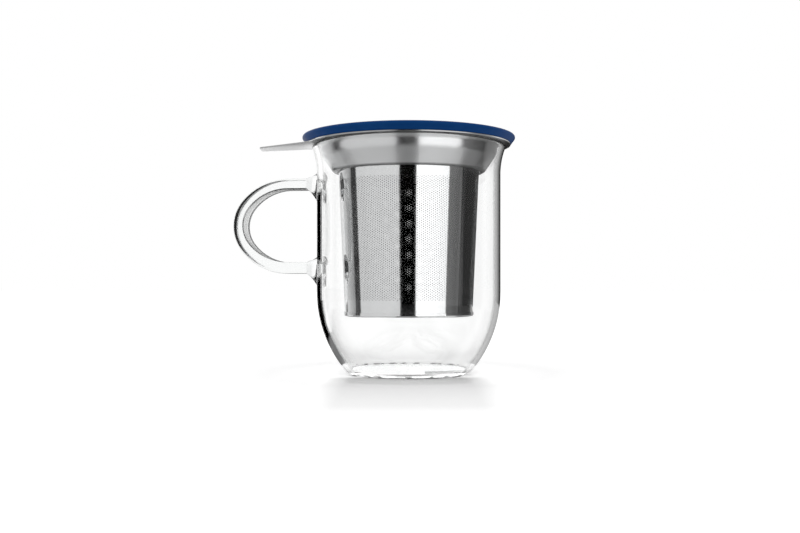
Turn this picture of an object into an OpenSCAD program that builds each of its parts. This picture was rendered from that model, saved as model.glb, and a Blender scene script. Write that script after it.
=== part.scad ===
// Lidded tea mug with a hanging infuser.
// +Z is up, the origin is the centre of the foot's flat underside, and the handle points along -X.

/* [Mug] */
// Height of the glass at its lip
mug_h = 105.1; // [98:0.1:116]
// Outside radius of the straight part of the body
body_r = 42.5; // [38:0.1:47]
// Thickness of the glass wall
glass_wall = 2.3; // [1.6:0.1:3.2]
// Thickness of the glass floor
glass_floor = 1.6; // [1.4:0.1:5]
// Height at which the belly's curve runs out into the straight wall
belly_h = 37.2; // [30:0.2:42]
// Radius of the belly's curve, seen from the side
belly_curve = 56; // [50:0.5:66]
// Rounding of the foot's outer edge
foot_round = 2.2; // [1:0.1:4]
// Rounding inside, between the wall and the floor
floor_round = 3; // [2:0.5:9]
// Height of the flared part below the lip
flare_h = 13.4; // [10:0.1:20]
// Radius of the flare's curve, seen from the side
flare_curve = 35; // [26:0.5:50]

/* [Handle] */
// Thickness of the glass strip at the upper arm
strip_t = 4.7; // [3.6:0.1:6]
// Thickness of the strip at the lower arm
strip_low_t = 5.3; // [3.6:0.1:6.5]
// Width of the strip
strip_w = 12.5; // [10:0.1:18]
// Rounding of the strip's edges
strip_round = 1.6; // [0.5:0.1:1.7]
// Distance from the mug's axis to the back of the loop
handle_reach = 82.2; // [74:0.2:92]
// Outside height of the loop
handle_h = 44.2; // [40:0.2:50]
// Height of the loop's middle above the foot
handle_z = 68.1; // [64:0.1:71]
// Length of the curved end of the loop, measured along X
loop_l = 25.9; // [24:0.1:30]
// Outside radius of the loop's back
loop_back = 18.5; // [15:0.5:19.5]
// Height of the melted seat where it meets the wall
seat_h = 14.5; // [12:0.5:18]
// Width of the melted seat where it meets the wall
seat_w = 16.4; // [14:0.2:22]
// Length over which the seat runs out into the strip
seat_l = 5; // [4:0.5:10]
// How far the seat's middle lies below the arm's middle
seat_drop = 1.8; // [0:0.1:3]

/* [Infuser collar] */
// Thickness of the collar's steel sheet
collar_sheet = 0.6; // [0.4:0.05:1]
// Outside radius of the flange that lies on the lip
flange_r = 47.2; // [46:0.1:50]
// Gap between the funnel's shoulder and the glass beside it
shoulder_gap = 0.6; // [0.3:0.05:1.5]
// Depth of the funnel below the flange
funnel_h = 12.6; // [9:0.1:18]
// Depth of the upright shoulder above the cone
shoulder_h = 4.7; // [3:0.1:7]
// Radius of the funnel's lower edge
ledge_r = 35.2; // [34.6:0.1:37]
// Rounding between flange and shoulder
flange_round = 2; // [1.2:0.1:2.5]
// Rounding between shoulder and cone
shoulder_round = 6; // [2:0.5:7]
// Rounding of the funnel's lower edge
ledge_round = 1.8; // [1:0.1:2]
// Turn of the infuser in the mug, away from the handle
infuser_turn = 8; // [-180:1:180]

/* [Grip tab] */
// Reach of the tab's tip from the mug's axis
tab_reach = 68.6; // [60:0.2:76]
// Width of the tab's tip
tab_tip_w = 11; // [8:0.2:18]
// Width of the tab where it leaves the flange
tab_root_w = 24; // [20:0.2:32]
// Slope of the tab, down towards its tip
tab_slope = 5; // [0:0.5:9]
// Rounding of the tip's corners
tab_round = 1.6; // [0.5:0.1:4]
// Rounding where the tab's sides run into the flange
tab_root_round = 8; // [2:0.5:12]
// Rounding of the bend between flange and tab, seen from the side
tab_bend = 8; // [4:1:14]

/* [Strainer] */
// Outside radius of the strainer at the collar
strainer_top_r = 32.6; // [30:0.1:33]
// Outside radius of the strainer at its floor
strainer_low_r = 29.6; // [26:0.1:31]
// Height of the strainer's underside above the table
strainer_z = 26.5; // [20:0.5:40]
// Thickness of the strainer's sheet
strainer_sheet = 0.4; // [0.3:0.05:0.6]
// Height of the floor's upturned rim
cap_h = 1.8; // [1.2:0.1:4]
// Rounding of the floor's edge
cap_round = 0.9; // [0.6:0.1:1.1]
// Width of the hem that hangs on the collar
hem_w = 1.65; // [1.4:0.05:1.7]
// Rounding below the hem
hem_round = 0.6; // [0.45:0.05:0.7]
// Diameter of a hole
hole_d = 2.4; // [1:0.1:3]
// Distance from each hole to the next
hole_pitch = 6; // [5:0.1:9]
// Height of the lowest row of holes above the strainer's underside
holes_from = 6.7; // [4:0.1:12]
// Height of the highest row of holes above the strainer's underside
holes_to = 61.3; // [40:0.1:63]
// Width of the plain strip along the weld
seam_w = 4; // [2:0.5:10]
// Direction of the weld, from the tab
seam_turn = 134; // [0:1:360]
// Play between the strainer's pieces
weld_gap = 0.05; // [0.02:0.01:0.1]

/* [Lid] */
// Outside radius of the lid's soft rim
lid_r = 49.2; // [48.5:0.1:54]
// Height of the soft rim
rim_h = 3.6; // [3.2:0.1:7]
// Height of the rim's widest line above its underside
rim_wide_h = 2.2; // [1.2:0.1:2.4]
// How far the rim's underside is drawn in from its widest line
rim_draft = 1.7; // [0.5:0.1:2.5]
// Rounding of the rim's widest line
rim_side_round = 1.2; // [0.4:0.1:1.4]
// Rounding of the rim's upper edge
rim_top_round = 1; // [0.6:0.1:2.1]
// Width of the rim, from its widest line in to the plate
rim_w = 8.2; // [6.5:0.1:10]
// Thickness of the steel plate
plate_t = 0.8; // [0.5:0.05:1.2]
// Rounding of the rim's inner edges
rim_lip_round = 0.5; // [0.2:0.1:0.7]
// How deep the plate's edge sits in the rim
plate_grip = 2.2; // [1:0.1:3]
// How far the plate lies below the rim's top
plate_drop = 0.9; // [0.5:0.1:1.5]
// Radius of the plate's raised middle
plate_field_r = 33; // [20:0.5:36]
// Rise of the plate's middle
plate_crown = 0.5; // [0.2:0.1:0.8]
// Depth of the skirt that centres the lid in the collar
skirt_h = 3.6; // [2:0.1:5]
// Thickness of the skirt
skirt_t = 1.8; // [1.2:0.1:2.4]
// Play between the skirt and the collar
skirt_gap = 0.5; // [0.3:0.05:1]

/* [Fit] */
// Gap between pieces that lie on each other and lift off
seat_gap = 0.1; // [0.05:0.01:0.3]

/* [Hidden] */
$fn = 96;

glass_tint = [0.80, 0.90, 0.93, 0.45];
steel_tint = [0.74, 0.75, 0.76];
navy_tint = [0.07, 0.20, 0.40];

round_steps = 6;   // straight stretches that stand for a small round
curve_steps = 10;  // straight stretches that stand for a long curve
loop_steps = 24;   // stations along the handle's loop
seat_steps = 8;    // stations along each end of the handle
seat_inset = 2;    // how far the handle starts behind the wall's face before it is trimmed
sink = 1;          // how far a cut reaches past the sheet that it cuts

// ---- outlines as lists of [radius, height] points

// Points along an arc about c, from angle a0 to angle a1
function arc(c, r, a0, a1, steps) =
    [for (i = [0:steps]) let (a = a0 + (a1 - a0) * i / steps) c + r * [cos(a), sin(a)]];

function unit(v) = v / norm(v);
function reversed(list) = [for (i = [len(list) - 1:-1:0]) list[i]];

// The round at corner b between a and c, tangent to both sides
function round_corner(a, b, c, r) =
    let (
        u = unit(a - b),
        v = unit(c - b),
        half = acos(u * v) / 2,
        centre = b + unit(u + v) * r / sin(half),
        from = b + u * r / tan(half) - centre,
        to = b + v * r / tan(half) - centre,
        start = atan2(from[1], from[0]),
        turn = atan2(from[0] * to[1] - from[1] * to[0], from * to)
    )
    arc(centre, r, start, start + turn, round_steps);

// An open line through corners, each inner corner rounded by its own radius
function rounded_line(corners, radii) = [
    corners[0],
    for (i = [1:len(corners) - 2]) each round_corner(corners[i - 1], corners[i], corners[i + 1], radii[i - 1]),
    corners[len(corners) - 1]
];

// Direction square to a line at its point i, to the left of its run
function left_of(line, i) =
    let (d = unit(line[min(i + 1, len(line) - 1)] - line[max(i - 1, 0)])) [-d[1], d[0]];

// Outline of a bent sheet that lies to the left of a line
function sheet_outline(line, t) =
    concat(line, reversed([for (i = [0:len(line) - 1]) line[i] + t * left_of(line, i)]));

// Outline of a rectangle about the origin, with rounded corners
function rounded_box(w, h, r) = [
    for (k = [0:3])
        let (sx = (k == 0 || k == 3) ? 1 : -1, sy = k < 2 ? 1 : -1)
        each arc([sx * (w / 2 - r), sy * (h / 2 - r)], r, 90 * k, 90 * k + 90, round_steps)
];

// ---- mug: places that the other pieces use

belly_c = [body_r - belly_curve, belly_h];
flare_z = mug_h - flare_h;
flare_c = [body_r + flare_curve, flare_z];
lip_round = glass_wall / 2;
flare_turn = asin((flare_h - lip_round) / (flare_curve + lip_round));
foot_c = [
    belly_c[0] + sqrt(pow(belly_curve - foot_round, 2) - pow(belly_h - foot_round, 2)),
    foot_round
];
foot_turn = atan2(foot_c[1] - belly_c[1], foot_c[0] - belly_c[0]);

// Outside of the glass, from the foot's flat to the lip
glass_outside = concat(
    arc(foot_c, foot_round, -90, foot_turn, round_steps),
    arc(belly_c, belly_curve, foot_turn, 0, curve_steps),
    arc(flare_c, flare_curve, 180, 180 - flare_turn, round_steps)
);

// Inside of the glass, from the lip to the floor
belly_in = belly_curve - glass_wall;
corner_c = [
    belly_c[0] + sqrt(pow(belly_in - floor_round, 2) - pow(belly_h - glass_floor - floor_round, 2)),
    glass_floor + floor_round
];
corner_turn = atan2(corner_c[1] - belly_c[1], corner_c[0] - belly_c[0]);
glass_inside = concat(
    arc(flare_c, flare_curve + glass_wall, 180 - flare_turn, 180, round_steps),
    arc(belly_c, belly_in, 0, corner_turn, curve_steps),
    arc(corner_c, floor_round, corner_turn, -90, round_steps)
);
lip_c = flare_c + (flare_curve + lip_round) * [-cos(flare_turn), sin(flare_turn)];
glass_lip = arc(lip_c, lip_round, -flare_turn, 180 - flare_turn, 2 * round_steps);

// Inside radius of the glass at a height in the flare
function flare_inside(z) = flare_c[0] - sqrt(pow(flare_curve + glass_wall, 2) - pow(max(z - flare_z, 0), 2));

// ---- infuser: places

flange_z = mug_h + seat_gap;
ledge_z = flange_z - funnel_h;
shoulder_z = flange_z - shoulder_h;
shoulder_r = flare_inside(shoulder_z) - shoulder_gap;
ledge_hole_r = strainer_top_r + hem_round + weld_gap;
hem_z = ledge_z + collar_sheet;
hem_r = strainer_top_r + hem_w;
wall_z = strainer_z + cap_round;

// Outside radius of the strainer at a height
function strainer_r(z) =
    strainer_low_r + (strainer_top_r - strainer_low_r) * (z - strainer_z) / (hem_z - strainer_z);

cap_r = strainer_r(strainer_z + cap_h) + weld_gap + strainer_sheet;

// Underside of the collar, from the ledge's hole out to the flange's edge
collar_under = rounded_line(
    [[ledge_hole_r, ledge_z], [ledge_r, ledge_z], [shoulder_r, shoulder_z], [shoulder_r + 0.3, flange_z],
     [flange_r, flange_z]],
    [ledge_round, shoulder_round, flange_round]
);

// Outside of the strainer's wall, from the floor up and out along the hem
wall_outside = rounded_line(
    [[strainer_r(wall_z), wall_z], [strainer_top_r, hem_z], [hem_r, hem_z]],
    [hem_round]
);

// Outside of the strainer's floor and its rim
cap_outside = rounded_line(
    [[0, strainer_z], [cap_r, strainer_z], [cap_r, strainer_z + cap_h]],
    [cap_round]
);

// Where the tab bends away from the flange
tab_turn = asin(tab_root_w / 2 / flange_r);
tab_bend_x = -flange_r * cos(tab_turn) + 0.3;

// ---- lid: places

lid_z = flange_z + collar_sheet + seat_gap;
lid_top = lid_z + rim_h;
rim_in_r = lid_r - rim_w;
skirt_r = shoulder_r - collar_sheet - skirt_gap;
plate_z = lid_top - plate_drop - plate_t;
plate_r = rim_in_r + plate_grip;

// ---- modules

module mug_body() {
    color(glass_tint)
        rotate_extrude()
            polygon(concat([[0, 0]], glass_outside, glass_lip, glass_inside, [[0, glass_floor]]));
}

// Everything inside the outer face of the glass
module glass_core() {
    rotate_extrude()
        polygon(concat([[0, 0]], glass_outside, glass_lip, [[0, mug_h]]));
}

// The handle is a loft along its outer contour. A station is [middle, direction outwards, thickness, seat],
// where seat runs from 1 at the wall to 0 where the plain strip begins.
function seat_share(d) = pow(max(1 - max(d, 0) / seat_l, 0), 1.6);

function arm_stations(side, t) =
    let (z = handle_z + side * (handle_h / 2 - t / 2))
    [for (i = [0:seat_steps])
        let (d = -seat_inset + (seat_l + seat_inset) * i / seat_steps)
        [[-body_r - d, z - seat_drop * seat_share(d)], 90 * side, t, seat_share(d)]];

// Three tangent arcs: a tight back between two wider shoulders
function loop_stations() =
    let (
        x = loop_l - handle_reach,
        half_h = handle_h / 2,
        spread = (pow(loop_l - loop_back, 2) + pow(half_h - loop_back, 2)) / (2 * (half_h - loop_back)),
        side_r = loop_back + spread,
        bend = asin((loop_l - loop_back) / spread)
    )
    [for (i = [0:loop_steps])
        let (
            a = 90 + 180 * i / loop_steps,
            t = strip_t + (strip_low_t - strip_t) * i / loop_steps,
            back = a > 90 + bend && a < 270 - bend,
            side = a < 180 ? 1 : -1,
            c = back ? [x - spread * sin(bend), handle_z] : [x, handle_z + side * (half_h - side_r)],
            r = (back ? loop_back : side_r) - t / 2
        )
        [c + r * [cos(a), sin(a)], a, t, 0]];

// Section of the handle at a station, as points in space
function handle_ring(station) =
    let (
        share = station[3],
        t = station[2] + (seat_h - station[2]) * share,
        w = strip_w + (seat_w - strip_w) * share,
        r = strip_round + (0.48 * seat_h - strip_round) * share,
        a = station[1]
    )
    [for (q = rounded_box(t, w, r))
        [station[0][0] + q[0] * cos(a), q[1], station[0][1] + q[0] * sin(a)]];

// A closed skin over rings of equally many points
module loft(rings) {
    n = len(rings[0]);
    last = len(rings) - 1;
    polyhedron(
        points = [for (ring = rings) each ring],
        faces = concat(
            [[for (k = [0:n - 1]) k]],
            [for (j = [0:last - 1], k = [0:n - 1])
                let (a = j * n + k, b = j * n + (k + 1) % n)
                each [[a, a + n, b], [b, a + n, b + n]]],
            [[for (k = [n - 1:-1:0]) last * n + k]]
        ),
        convexity = 6
    );
}

module mug_handle() {
    stations = concat(arm_stations(1, strip_t), loop_stations(), reversed(arm_stations(-1, strip_low_t)));
    color(glass_tint)
        difference() {
            loft([for (s = stations) handle_ring(s)]);
            glass_core();
        }
}

// Flat outline of the tab, its root on the flange
module tab_outline() {
    edge = [for (a = [tab_turn, tab_turn + 14]) flange_r * [-cos(a), sin(a)]];
    tip = [-tab_reach, tab_tip_w / 2];
    half = concat(
        [[tab_bend_x + 2, edge[1][1] - 1]],
        round_corner(edge[1], edge[0], tip, tab_root_round),
        round_corner(edge[0], tip, [tip[0], 0], tab_round)
    );
    polygon(concat(half, reversed([for (p = half) [p[0], -p[1]]])));
}

// The tab, bent down from the flange along a straight line
module tab() {
    drop = (tab_reach + tab_bend_x) * tan(tab_slope);
    under = rounded_line(
        [[-tab_reach, flange_z - drop], [tab_bend_x, flange_z], [tab_bend_x + 2, flange_z]],
        [tab_bend]
    );
    intersection() {
        rotate([90, 0, 0])
            linear_extrude(2 * flange_r, center = true)
                polygon(sheet_outline(under, collar_sheet));
        translate([0, 0, flange_z - drop - sink])
            linear_extrude(drop + collar_sheet + 2 * sink)
                tab_outline();
    }
}

module infuser_collar() {
    color(steel_tint)
        rotate([0, 0, infuser_turn]) {
            difference() {
                rotate_extrude()
                    polygon(sheet_outline(collar_under, collar_sheet));
                translate([tab_bend_x - flange_r, -tab_root_w / 2, flange_z - sink])
                    cube([flange_r, tab_root_w, collar_sheet + 2 * sink]);
            }
            tab();
        }
}

// Holes in columns up the wall, every second column moved up by half a pitch
module wall_holes() {
    mean_r = (strainer_r(strainer_z + holes_from) + strainer_r(strainer_z + holes_to)) / 2;
    columns = 2 * round(PI * mean_r / (hole_pitch * sin(60)));
    rows = floor((holes_to - holes_from) / hole_pitch);
    for (i = [0:columns - 1]) {
        turn = 360 * i / columns;
        if (abs(turn - 180) < 180 - seam_w / 2 / mean_r * 180 / PI)
            for (j = [0:rows - i % 2]) {
                z = strainer_z + holes_from + hole_pitch * (j + (i % 2) / 2);
                translate([0, 0, z])
                    rotate([0, 90, turn + seam_turn + 180])
                        translate([0, 0, strainer_r(z) - 2 * strainer_sheet])
                            cylinder(d = hole_d, h = 4 * strainer_sheet);
            }
    }
}

module strainer_wall() {
    color(steel_tint)
        rotate([0, 0, infuser_turn])
            difference() {
                rotate_extrude()
                    polygon(sheet_outline(wall_outside, strainer_sheet));
                wall_holes();
            }
}

// Holes in rings round the middle of the floor, each ring with six more than the one inside it
module floor_holes() {
    rings = floor((strainer_r(wall_z) - hole_pitch) / hole_pitch);
    for (i = [0:rings], j = [0:max(6 * i - 1, 0)])
        rotate([0, 0, 360 * j / max(6 * i, 1)])
            translate([i * hole_pitch, 0, strainer_z - sink])
                cylinder(d = hole_d, h = strainer_sheet + 2 * sink);
}

module strainer_floor() {
    color(steel_tint)
        rotate([0, 0, infuser_turn])
            difference() {
                rotate_extrude()
                    polygon(sheet_outline(cap_outside, strainer_sheet));
                floor_holes();
            }
}

module lid_rim() {
    seat = [lid_r - rim_draft, lid_z];
    wide = [lid_r, lid_z + rim_wide_h];
    plate_top = plate_z + plate_t;
    color(navy_tint)
        rotate_extrude()
            polygon(concat(
                rounded_line(
                    [seat, wide, [lid_r, lid_top], [rim_in_r, lid_top], [rim_in_r, plate_top]],
                    [rim_side_round, rim_top_round, rim_lip_round]
                ),
                [[plate_r + weld_gap, plate_top], [plate_r + weld_gap, plate_z]],
                rounded_line(
                    [[skirt_r - skirt_t, plate_z], [skirt_r - skirt_t, lid_z - skirt_h],
                     [skirt_r, lid_z - skirt_h], [skirt_r, lid_z]],
                    [rim_lip_round, rim_lip_round]
                )
            ));
}

module lid_plate() {
    under = rounded_line(
        [[0, plate_z + plate_crown], [plate_field_r, plate_z + plate_crown],
         [plate_field_r + 2 * plate_crown, plate_z], [plate_r, plate_z]],
        [plate_t, plate_t]
    );
    color(steel_tint)
        rotate_extrude()
            polygon(sheet_outline(under, plate_t));
}

mug_body();
mug_handle();
infuser_collar();
strainer_wall();
strainer_floor();
lid_rim();
lid_plate();
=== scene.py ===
"""Studio model of a glass tea mug with a hanging steel strainer and a round lid with a soft rim.

Everything is in metres. +Z is up, the origin is the centre of the foot, and the handle points along -X.
Each sub-assembly is a class that holds its sizes and builds its own meshes, and each finish is a class
that builds its own material.
"""

import logging
import math
from dataclasses import dataclass, field
from enum import Enum

import bpy
import numpy as np
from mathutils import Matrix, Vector

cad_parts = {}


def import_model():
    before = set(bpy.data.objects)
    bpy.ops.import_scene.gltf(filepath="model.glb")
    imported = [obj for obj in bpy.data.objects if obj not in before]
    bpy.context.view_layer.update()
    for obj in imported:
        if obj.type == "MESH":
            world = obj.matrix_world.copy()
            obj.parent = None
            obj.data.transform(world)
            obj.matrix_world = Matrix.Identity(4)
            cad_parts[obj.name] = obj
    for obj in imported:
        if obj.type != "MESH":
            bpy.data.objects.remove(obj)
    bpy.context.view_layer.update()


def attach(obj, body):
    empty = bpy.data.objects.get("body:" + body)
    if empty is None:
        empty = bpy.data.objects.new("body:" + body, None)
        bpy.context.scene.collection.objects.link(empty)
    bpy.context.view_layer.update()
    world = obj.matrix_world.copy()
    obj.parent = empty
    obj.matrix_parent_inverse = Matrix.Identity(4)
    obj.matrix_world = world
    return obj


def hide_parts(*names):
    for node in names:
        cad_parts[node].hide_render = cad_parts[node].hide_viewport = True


log = logging.getLogger("tea_mug")

MM = 0.001
HEXAGON = np.radians(np.arange(6) * 60.0)
WHITE = (1, 1, 1, 1)

Array = np.ndarray
Piece = bpy.types.Object
Material = bpy.types.Material
Tone = tuple[float, float, float]
# A stretch of a measure, from and to, and the values at its two ends.
Span = tuple[float, float, float, float]


# -------- Lines and surfaces --------


def unit(angles: Array) -> Array:
    """The point (cos a, sin a) for each angle in radians."""
    return np.stack([np.cos(angles), np.sin(angles)], axis=-1)


def arc(centre: tuple[float, float], radius: float, start: float, end: float, steps: int) -> Array:
    """Points on a circle: centre + radius * (cos a, sin a), with a in even steps from start to end.

    Args:
        centre: The circle's centre in the plane.
        radius: The circle's radius.
        start: The first angle in degrees.
        end: The last angle in degrees.
        steps: How many straight stretches the arc has.

    Returns:
        An array of steps + 1 points.
    """
    return np.array(centre) + radius * unit(np.radians(np.linspace(start, end, steps + 1)))


def rounded_line(corners: list, radii: list[float], steps: int) -> Array:
    """An open line through corners, with each inner corner replaced by an arc tangent to both sides.

    The arc's centre lies on the corner's bisector at radius / sin(half the corner's angle), and the arc
    runs between the feet of the perpendiculars from that centre to the two sides.

    Args:
        corners: The corner points.
        radii: One radius for each inner corner.
        steps: How many straight stretches each arc has.

    Returns:
        The points of the line.
    """
    corners = np.array(corners)
    points = [corners[0]]
    for before, corner, after, radius in zip(corners, corners[1:], corners[2:], radii):
        u = (before - corner) / np.linalg.norm(before - corner)
        v = (after - corner) / np.linalg.norm(after - corner)
        half = math.acos(float(u @ v)) / 2
        bisector = (u + v) / np.linalg.norm(u + v)
        centre = corner + bisector * radius / math.sin(half)
        start = corner + u * radius / math.tan(half) - centre
        end = corner + v * radius / math.tan(half) - centre
        first = math.atan2(start[1], start[0])
        turn = math.atan2(start[0] * end[1] - start[1] * end[0], float(start @ end))
        points.extend(arc(tuple(centre), radius, math.degrees(first), math.degrees(first + turn), steps))
    points.append(corners[-1])
    return np.array(points)


def spaced(line: Array, step: float) -> Array:
    """The same line with extra points, so that no stretch of it is longer than step.

    Args:
        line: The points of an open line.
        step: The longest stretch.

    Returns:
        The line with its own points kept and even ones put between them.
    """
    pieces = []
    for a, b in zip(line, line[1:]):
        parts = max(1, math.ceil(float(np.linalg.norm(b - a)) / step))
        pieces.append(a + (b - a) * np.linspace(0, 1, parts, endpoint=False)[:, None])
    return np.vstack([*pieces, line[-1:]])


def left_of(line: Array) -> Array:
    """Unit vectors square to a line in the plane, to the left of its run, by central differences.

    Args:
        line: The points of the line.

    Returns:
        One vector for each point.
    """
    run = np.gradient(line, axis=0)
    run /= np.linalg.norm(run, axis=1, keepdims=True)
    return np.column_stack([-run[:, 1], run[:, 0]])


def run_along(line: Array) -> Array:
    """The length along a line up to each of its points: the running sum of its stretches."""
    return np.concatenate([[0], np.cumsum(np.linalg.norm(np.diff(line, axis=0), axis=1))])


def carried(profile: Array, ring: Array) -> Array:
    """A profile carried round +Z: its point (r, z) in the direction d of the ring is (r dx, r dy, z).

    Args:
        profile: Radius and height of each row.
        ring: One direction in the plane for each station.

    Returns:
        An array (rows, stations, 3).
    """
    flat = profile[:, None, :1] * ring[None]
    return np.concatenate([flat, np.broadcast_to(profile[:, None, 1:], (*flat.shape[:2], 1))], axis=-1)


@dataclass
class Shell:
    """A mesh in arrays: points (n, 3), four-sided faces (q, 4) and three-sided faces (t, 3)."""

    points: Array
    quads: Array
    triangles: Array = field(default_factory=lambda: np.zeros((0, 3), int))

    def kept(self, quad_mask: Array, triangle_mask: Array) -> "Shell":
        """Picks some of the faces and drops the points that none of them uses.

        Args:
            quad_mask: Which four-sided faces stay.
            triangle_mask: Which three-sided faces stay.

        Returns:
            The smaller mesh.
        """
        quads, triangles = self.quads[quad_mask], self.triangles[triangle_mask]
        used, index = np.unique(np.concatenate([quads.ravel(), triangles.ravel()]), return_inverse=True)
        index = index.ravel()
        return Shell(
            self.points[used],
            index[: quads.size].reshape(-1, 4),
            index[quads.size :].reshape(-1, 3),
        )


def grid_quads(index: Array, close_columns: bool = False) -> Array:
    """Four-sided faces between neighbouring entries of a grid of point indices.

    Args:
        index: Point indices, one row per level and one column per station along the level.
        close_columns: Whether the last column joins the first.

    Returns:
        The faces, counterclockwise where columns run right and rows run up.
    """
    if close_columns:
        index = np.hstack([index, index[:, :1]])
    return np.stack([index[:-1, :-1], index[:-1, 1:], index[1:, 1:], index[1:, :-1]], axis=-1).reshape(-1, 4)


def pierced(corners: Array, holes: Array) -> Array:
    """Four-sided faces between the corners of each cell and the points of the hole in it."""
    return np.stack([corners, np.roll(corners, -1, 1), np.roll(holes, -1, 1), holes], axis=-1).reshape(-1, 4)


def rim_edges(count: int, *faces: Array) -> Array:
    """The sides of faces that no neighbour shares, at a rim or round a hole.

    Args:
        count: How many points the mesh has.
        *faces: Arrays of faces, one face per row.

    Returns:
        Pairs of points, each in its own face's direction.
    """
    sides = [np.stack([face, np.roll(face, -1, axis=1)], axis=-1).reshape(-1, 2) for face in faces]
    edges = np.vstack(sides)
    return edges[~np.isin(edges[:, 1] * count + edges[:, 0], edges[:, 0] * count + edges[:, 1])]


def lathe(profile: Array, columns: int) -> Shell:
    """The surface of revolution of a profile about +Z: the point (r, z) at angle a is (r cos a, r sin a, z).

    A profile that starts and ends on the axis gets a point and a fan of triangles at either end, and any
    other profile is closed into a ring.

    Args:
        profile: Radius and height of each row, in order along the section.
        columns: How many stations the circle has.

    Returns:
        A closed shell.
    """
    on_axis = bool(profile[0, 0] == 0)
    rows = profile[1:-1] if on_axis else profile
    points = carried(rows, unit(np.arange(columns) * 2 * math.pi / columns)).reshape(-1, 3)
    index = np.arange(len(points)).reshape(len(rows), columns)
    if not on_axis:
        return Shell(points, grid_quads(np.vstack([index, index[:1]]), close_columns=True))
    low, high = np.full(columns, len(points)), np.full(columns, len(points) + 1)
    fans = [
        np.column_stack([low, np.roll(index[0], -1), index[0]]),
        np.column_stack([high, index[-1], np.roll(index[-1], -1)]),
    ]
    poles = np.array([[0, 0, profile[0, 1]], [0, 0, profile[-1, 1]]])
    return Shell(np.vstack([points, poles]), grid_quads(index, close_columns=True), np.vstack(fans))


def plate(front: Shell, back: Array) -> Shell:
    """A closed sheet between a front skin and a back skin with the same faces.

    Each side that only one front face has gets a four-sided wall to its twin on the back.

    Args:
        front: The front skin, its faces pointing outwards.
        back: The back point of each front point.

    Returns:
        The closed sheet.
    """
    count = len(front.points)
    rim = rim_edges(count, front.quads, front.triangles)
    walls = np.column_stack([rim[:, 1], rim[:, 0], rim[:, 0] + count, rim[:, 1] + count])
    return Shell(
        np.vstack([front.points, back]),
        np.vstack([front.quads, front.quads[:, ::-1] + count, walls]),
        np.vstack([front.triangles, front.triangles[:, ::-1] + count]),
    )


def turned(points: Array, degrees: float) -> Array:
    """Points turned about +Z by an angle in degrees."""
    c, s = math.cos(math.radians(degrees)), math.sin(math.radians(degrees))
    return points @ np.array([[c, s, 0], [-s, c, 0], [0, 0, 1]])


# -------- Pieces --------


class Slot(Enum):
    """The material slots of the part's record."""

    GLASS = "glass"
    STEEL = "steel"
    MESH_STEEL = "mesh_steel"
    LID_BLUE = "lid_blue"


def to_object(name: str, shell: Shell, material: Material, sharp: float = 38.0) -> Piece:
    """Puts a shell into a mesh object at the origin, shaded smooth up to an angle.

    Args:
        name: The piece's name.
        shell: The mesh in arrays.
        material: The piece's finish.
        sharp: The angle in degrees between faces from which an edge is shaded sharp.

    Returns:
        The object, linked to the scene.
    """
    mesh = bpy.data.meshes.new(name)
    quads, triangles = shell.quads, shell.triangles
    corners = np.concatenate([quads.ravel(), triangles.ravel()]).astype(np.int32)
    starts = np.concatenate([np.arange(len(quads)) * 4, len(quads) * 4 + np.arange(len(triangles)) * 3])
    mesh.vertices.add(len(shell.points))
    mesh.vertices.foreach_set("co", shell.points.astype(np.float32).ravel())
    mesh.loops.add(len(corners))
    mesh.loops.foreach_set("vertex_index", corners)
    mesh.polygons.add(len(starts))
    mesh.polygons.foreach_set("loop_start", starts.astype(np.int32))
    mesh.polygons.foreach_set("use_smooth", np.ones(len(starts), bool))
    mesh.update(calc_edges=True)
    mesh.set_sharp_from_angle(angle=math.radians(sharp))
    mesh.materials.append(material)
    piece = bpy.data.objects.new(name, mesh)
    bpy.context.scene.collection.objects.link(piece)
    return piece


def place(piece: Piece, body: str, slot: Slot, *nodes: str) -> None:
    """Sets a piece on its body, in place of the frame's nodes.

    Args:
        piece: The finished piece.
        body: The body that it rides on.
        slot: Its material slot; not used.
        *nodes: The frame's nodes that it replaces.
    """
    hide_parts(*nodes)
    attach(piece, body)
    log.info("%s rides on %s in place of %s: %d faces", piece.name, body, nodes, len(piece.data.polygons))


def point_outwards(piece: Piece) -> None:
    """Turns every face of a closed mesh outwards, by the sign of its enclosed volume.

    Args:
        piece: The piece with the mesh.
    """
    mesh = piece.data
    mesh.calc_loop_triangles()
    points = np.zeros(len(mesh.vertices) * 3)
    mesh.vertices.foreach_get("co", points)
    corners = np.zeros(len(mesh.loop_triangles) * 3, np.int32)
    mesh.loop_triangles.foreach_get("vertices", corners)
    a, b, c = points.reshape(-1, 3)[corners.reshape(-1, 3)].transpose(1, 0, 2)
    if float(np.einsum("ij,ij->i", a, np.cross(b, c)).sum()) < 0:
        mesh.flip_normals()


# -------- Node graphs --------


class Value:
    """A number in a node graph. Adding, subtracting or multiplying it places a Math node."""

    def __init__(self, graph: "Graph", socket: bpy.types.NodeSocket) -> None:
        """Keeps the graph and the socket that the number comes from."""
        self.graph, self.socket = graph, socket

    def __add__(self, other: object) -> "Value":
        """This number plus another."""
        return self.graph.math("ADD", self, other)

    def __radd__(self, other: object) -> "Value":
        """Another number plus this one."""
        return self.graph.math("ADD", other, self)

    def __sub__(self, other: object) -> "Value":
        """This number less another."""
        return self.graph.math("SUBTRACT", self, other)

    def __rsub__(self, other: object) -> "Value":
        """Another number less this one."""
        return self.graph.math("SUBTRACT", other, self)

    def __mul__(self, other: object) -> "Value":
        """This number times another."""
        return self.graph.math("MULTIPLY", self, other)

    def ramp(self, low: object, high: float, to_low: float, to_high: float) -> "Value":
        """This number mapped from one span to another, with clamped ends."""
        return self.graph.value("MapRange", {0: self, 1: low, 2: high, 3: to_low, 4: to_high})


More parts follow.
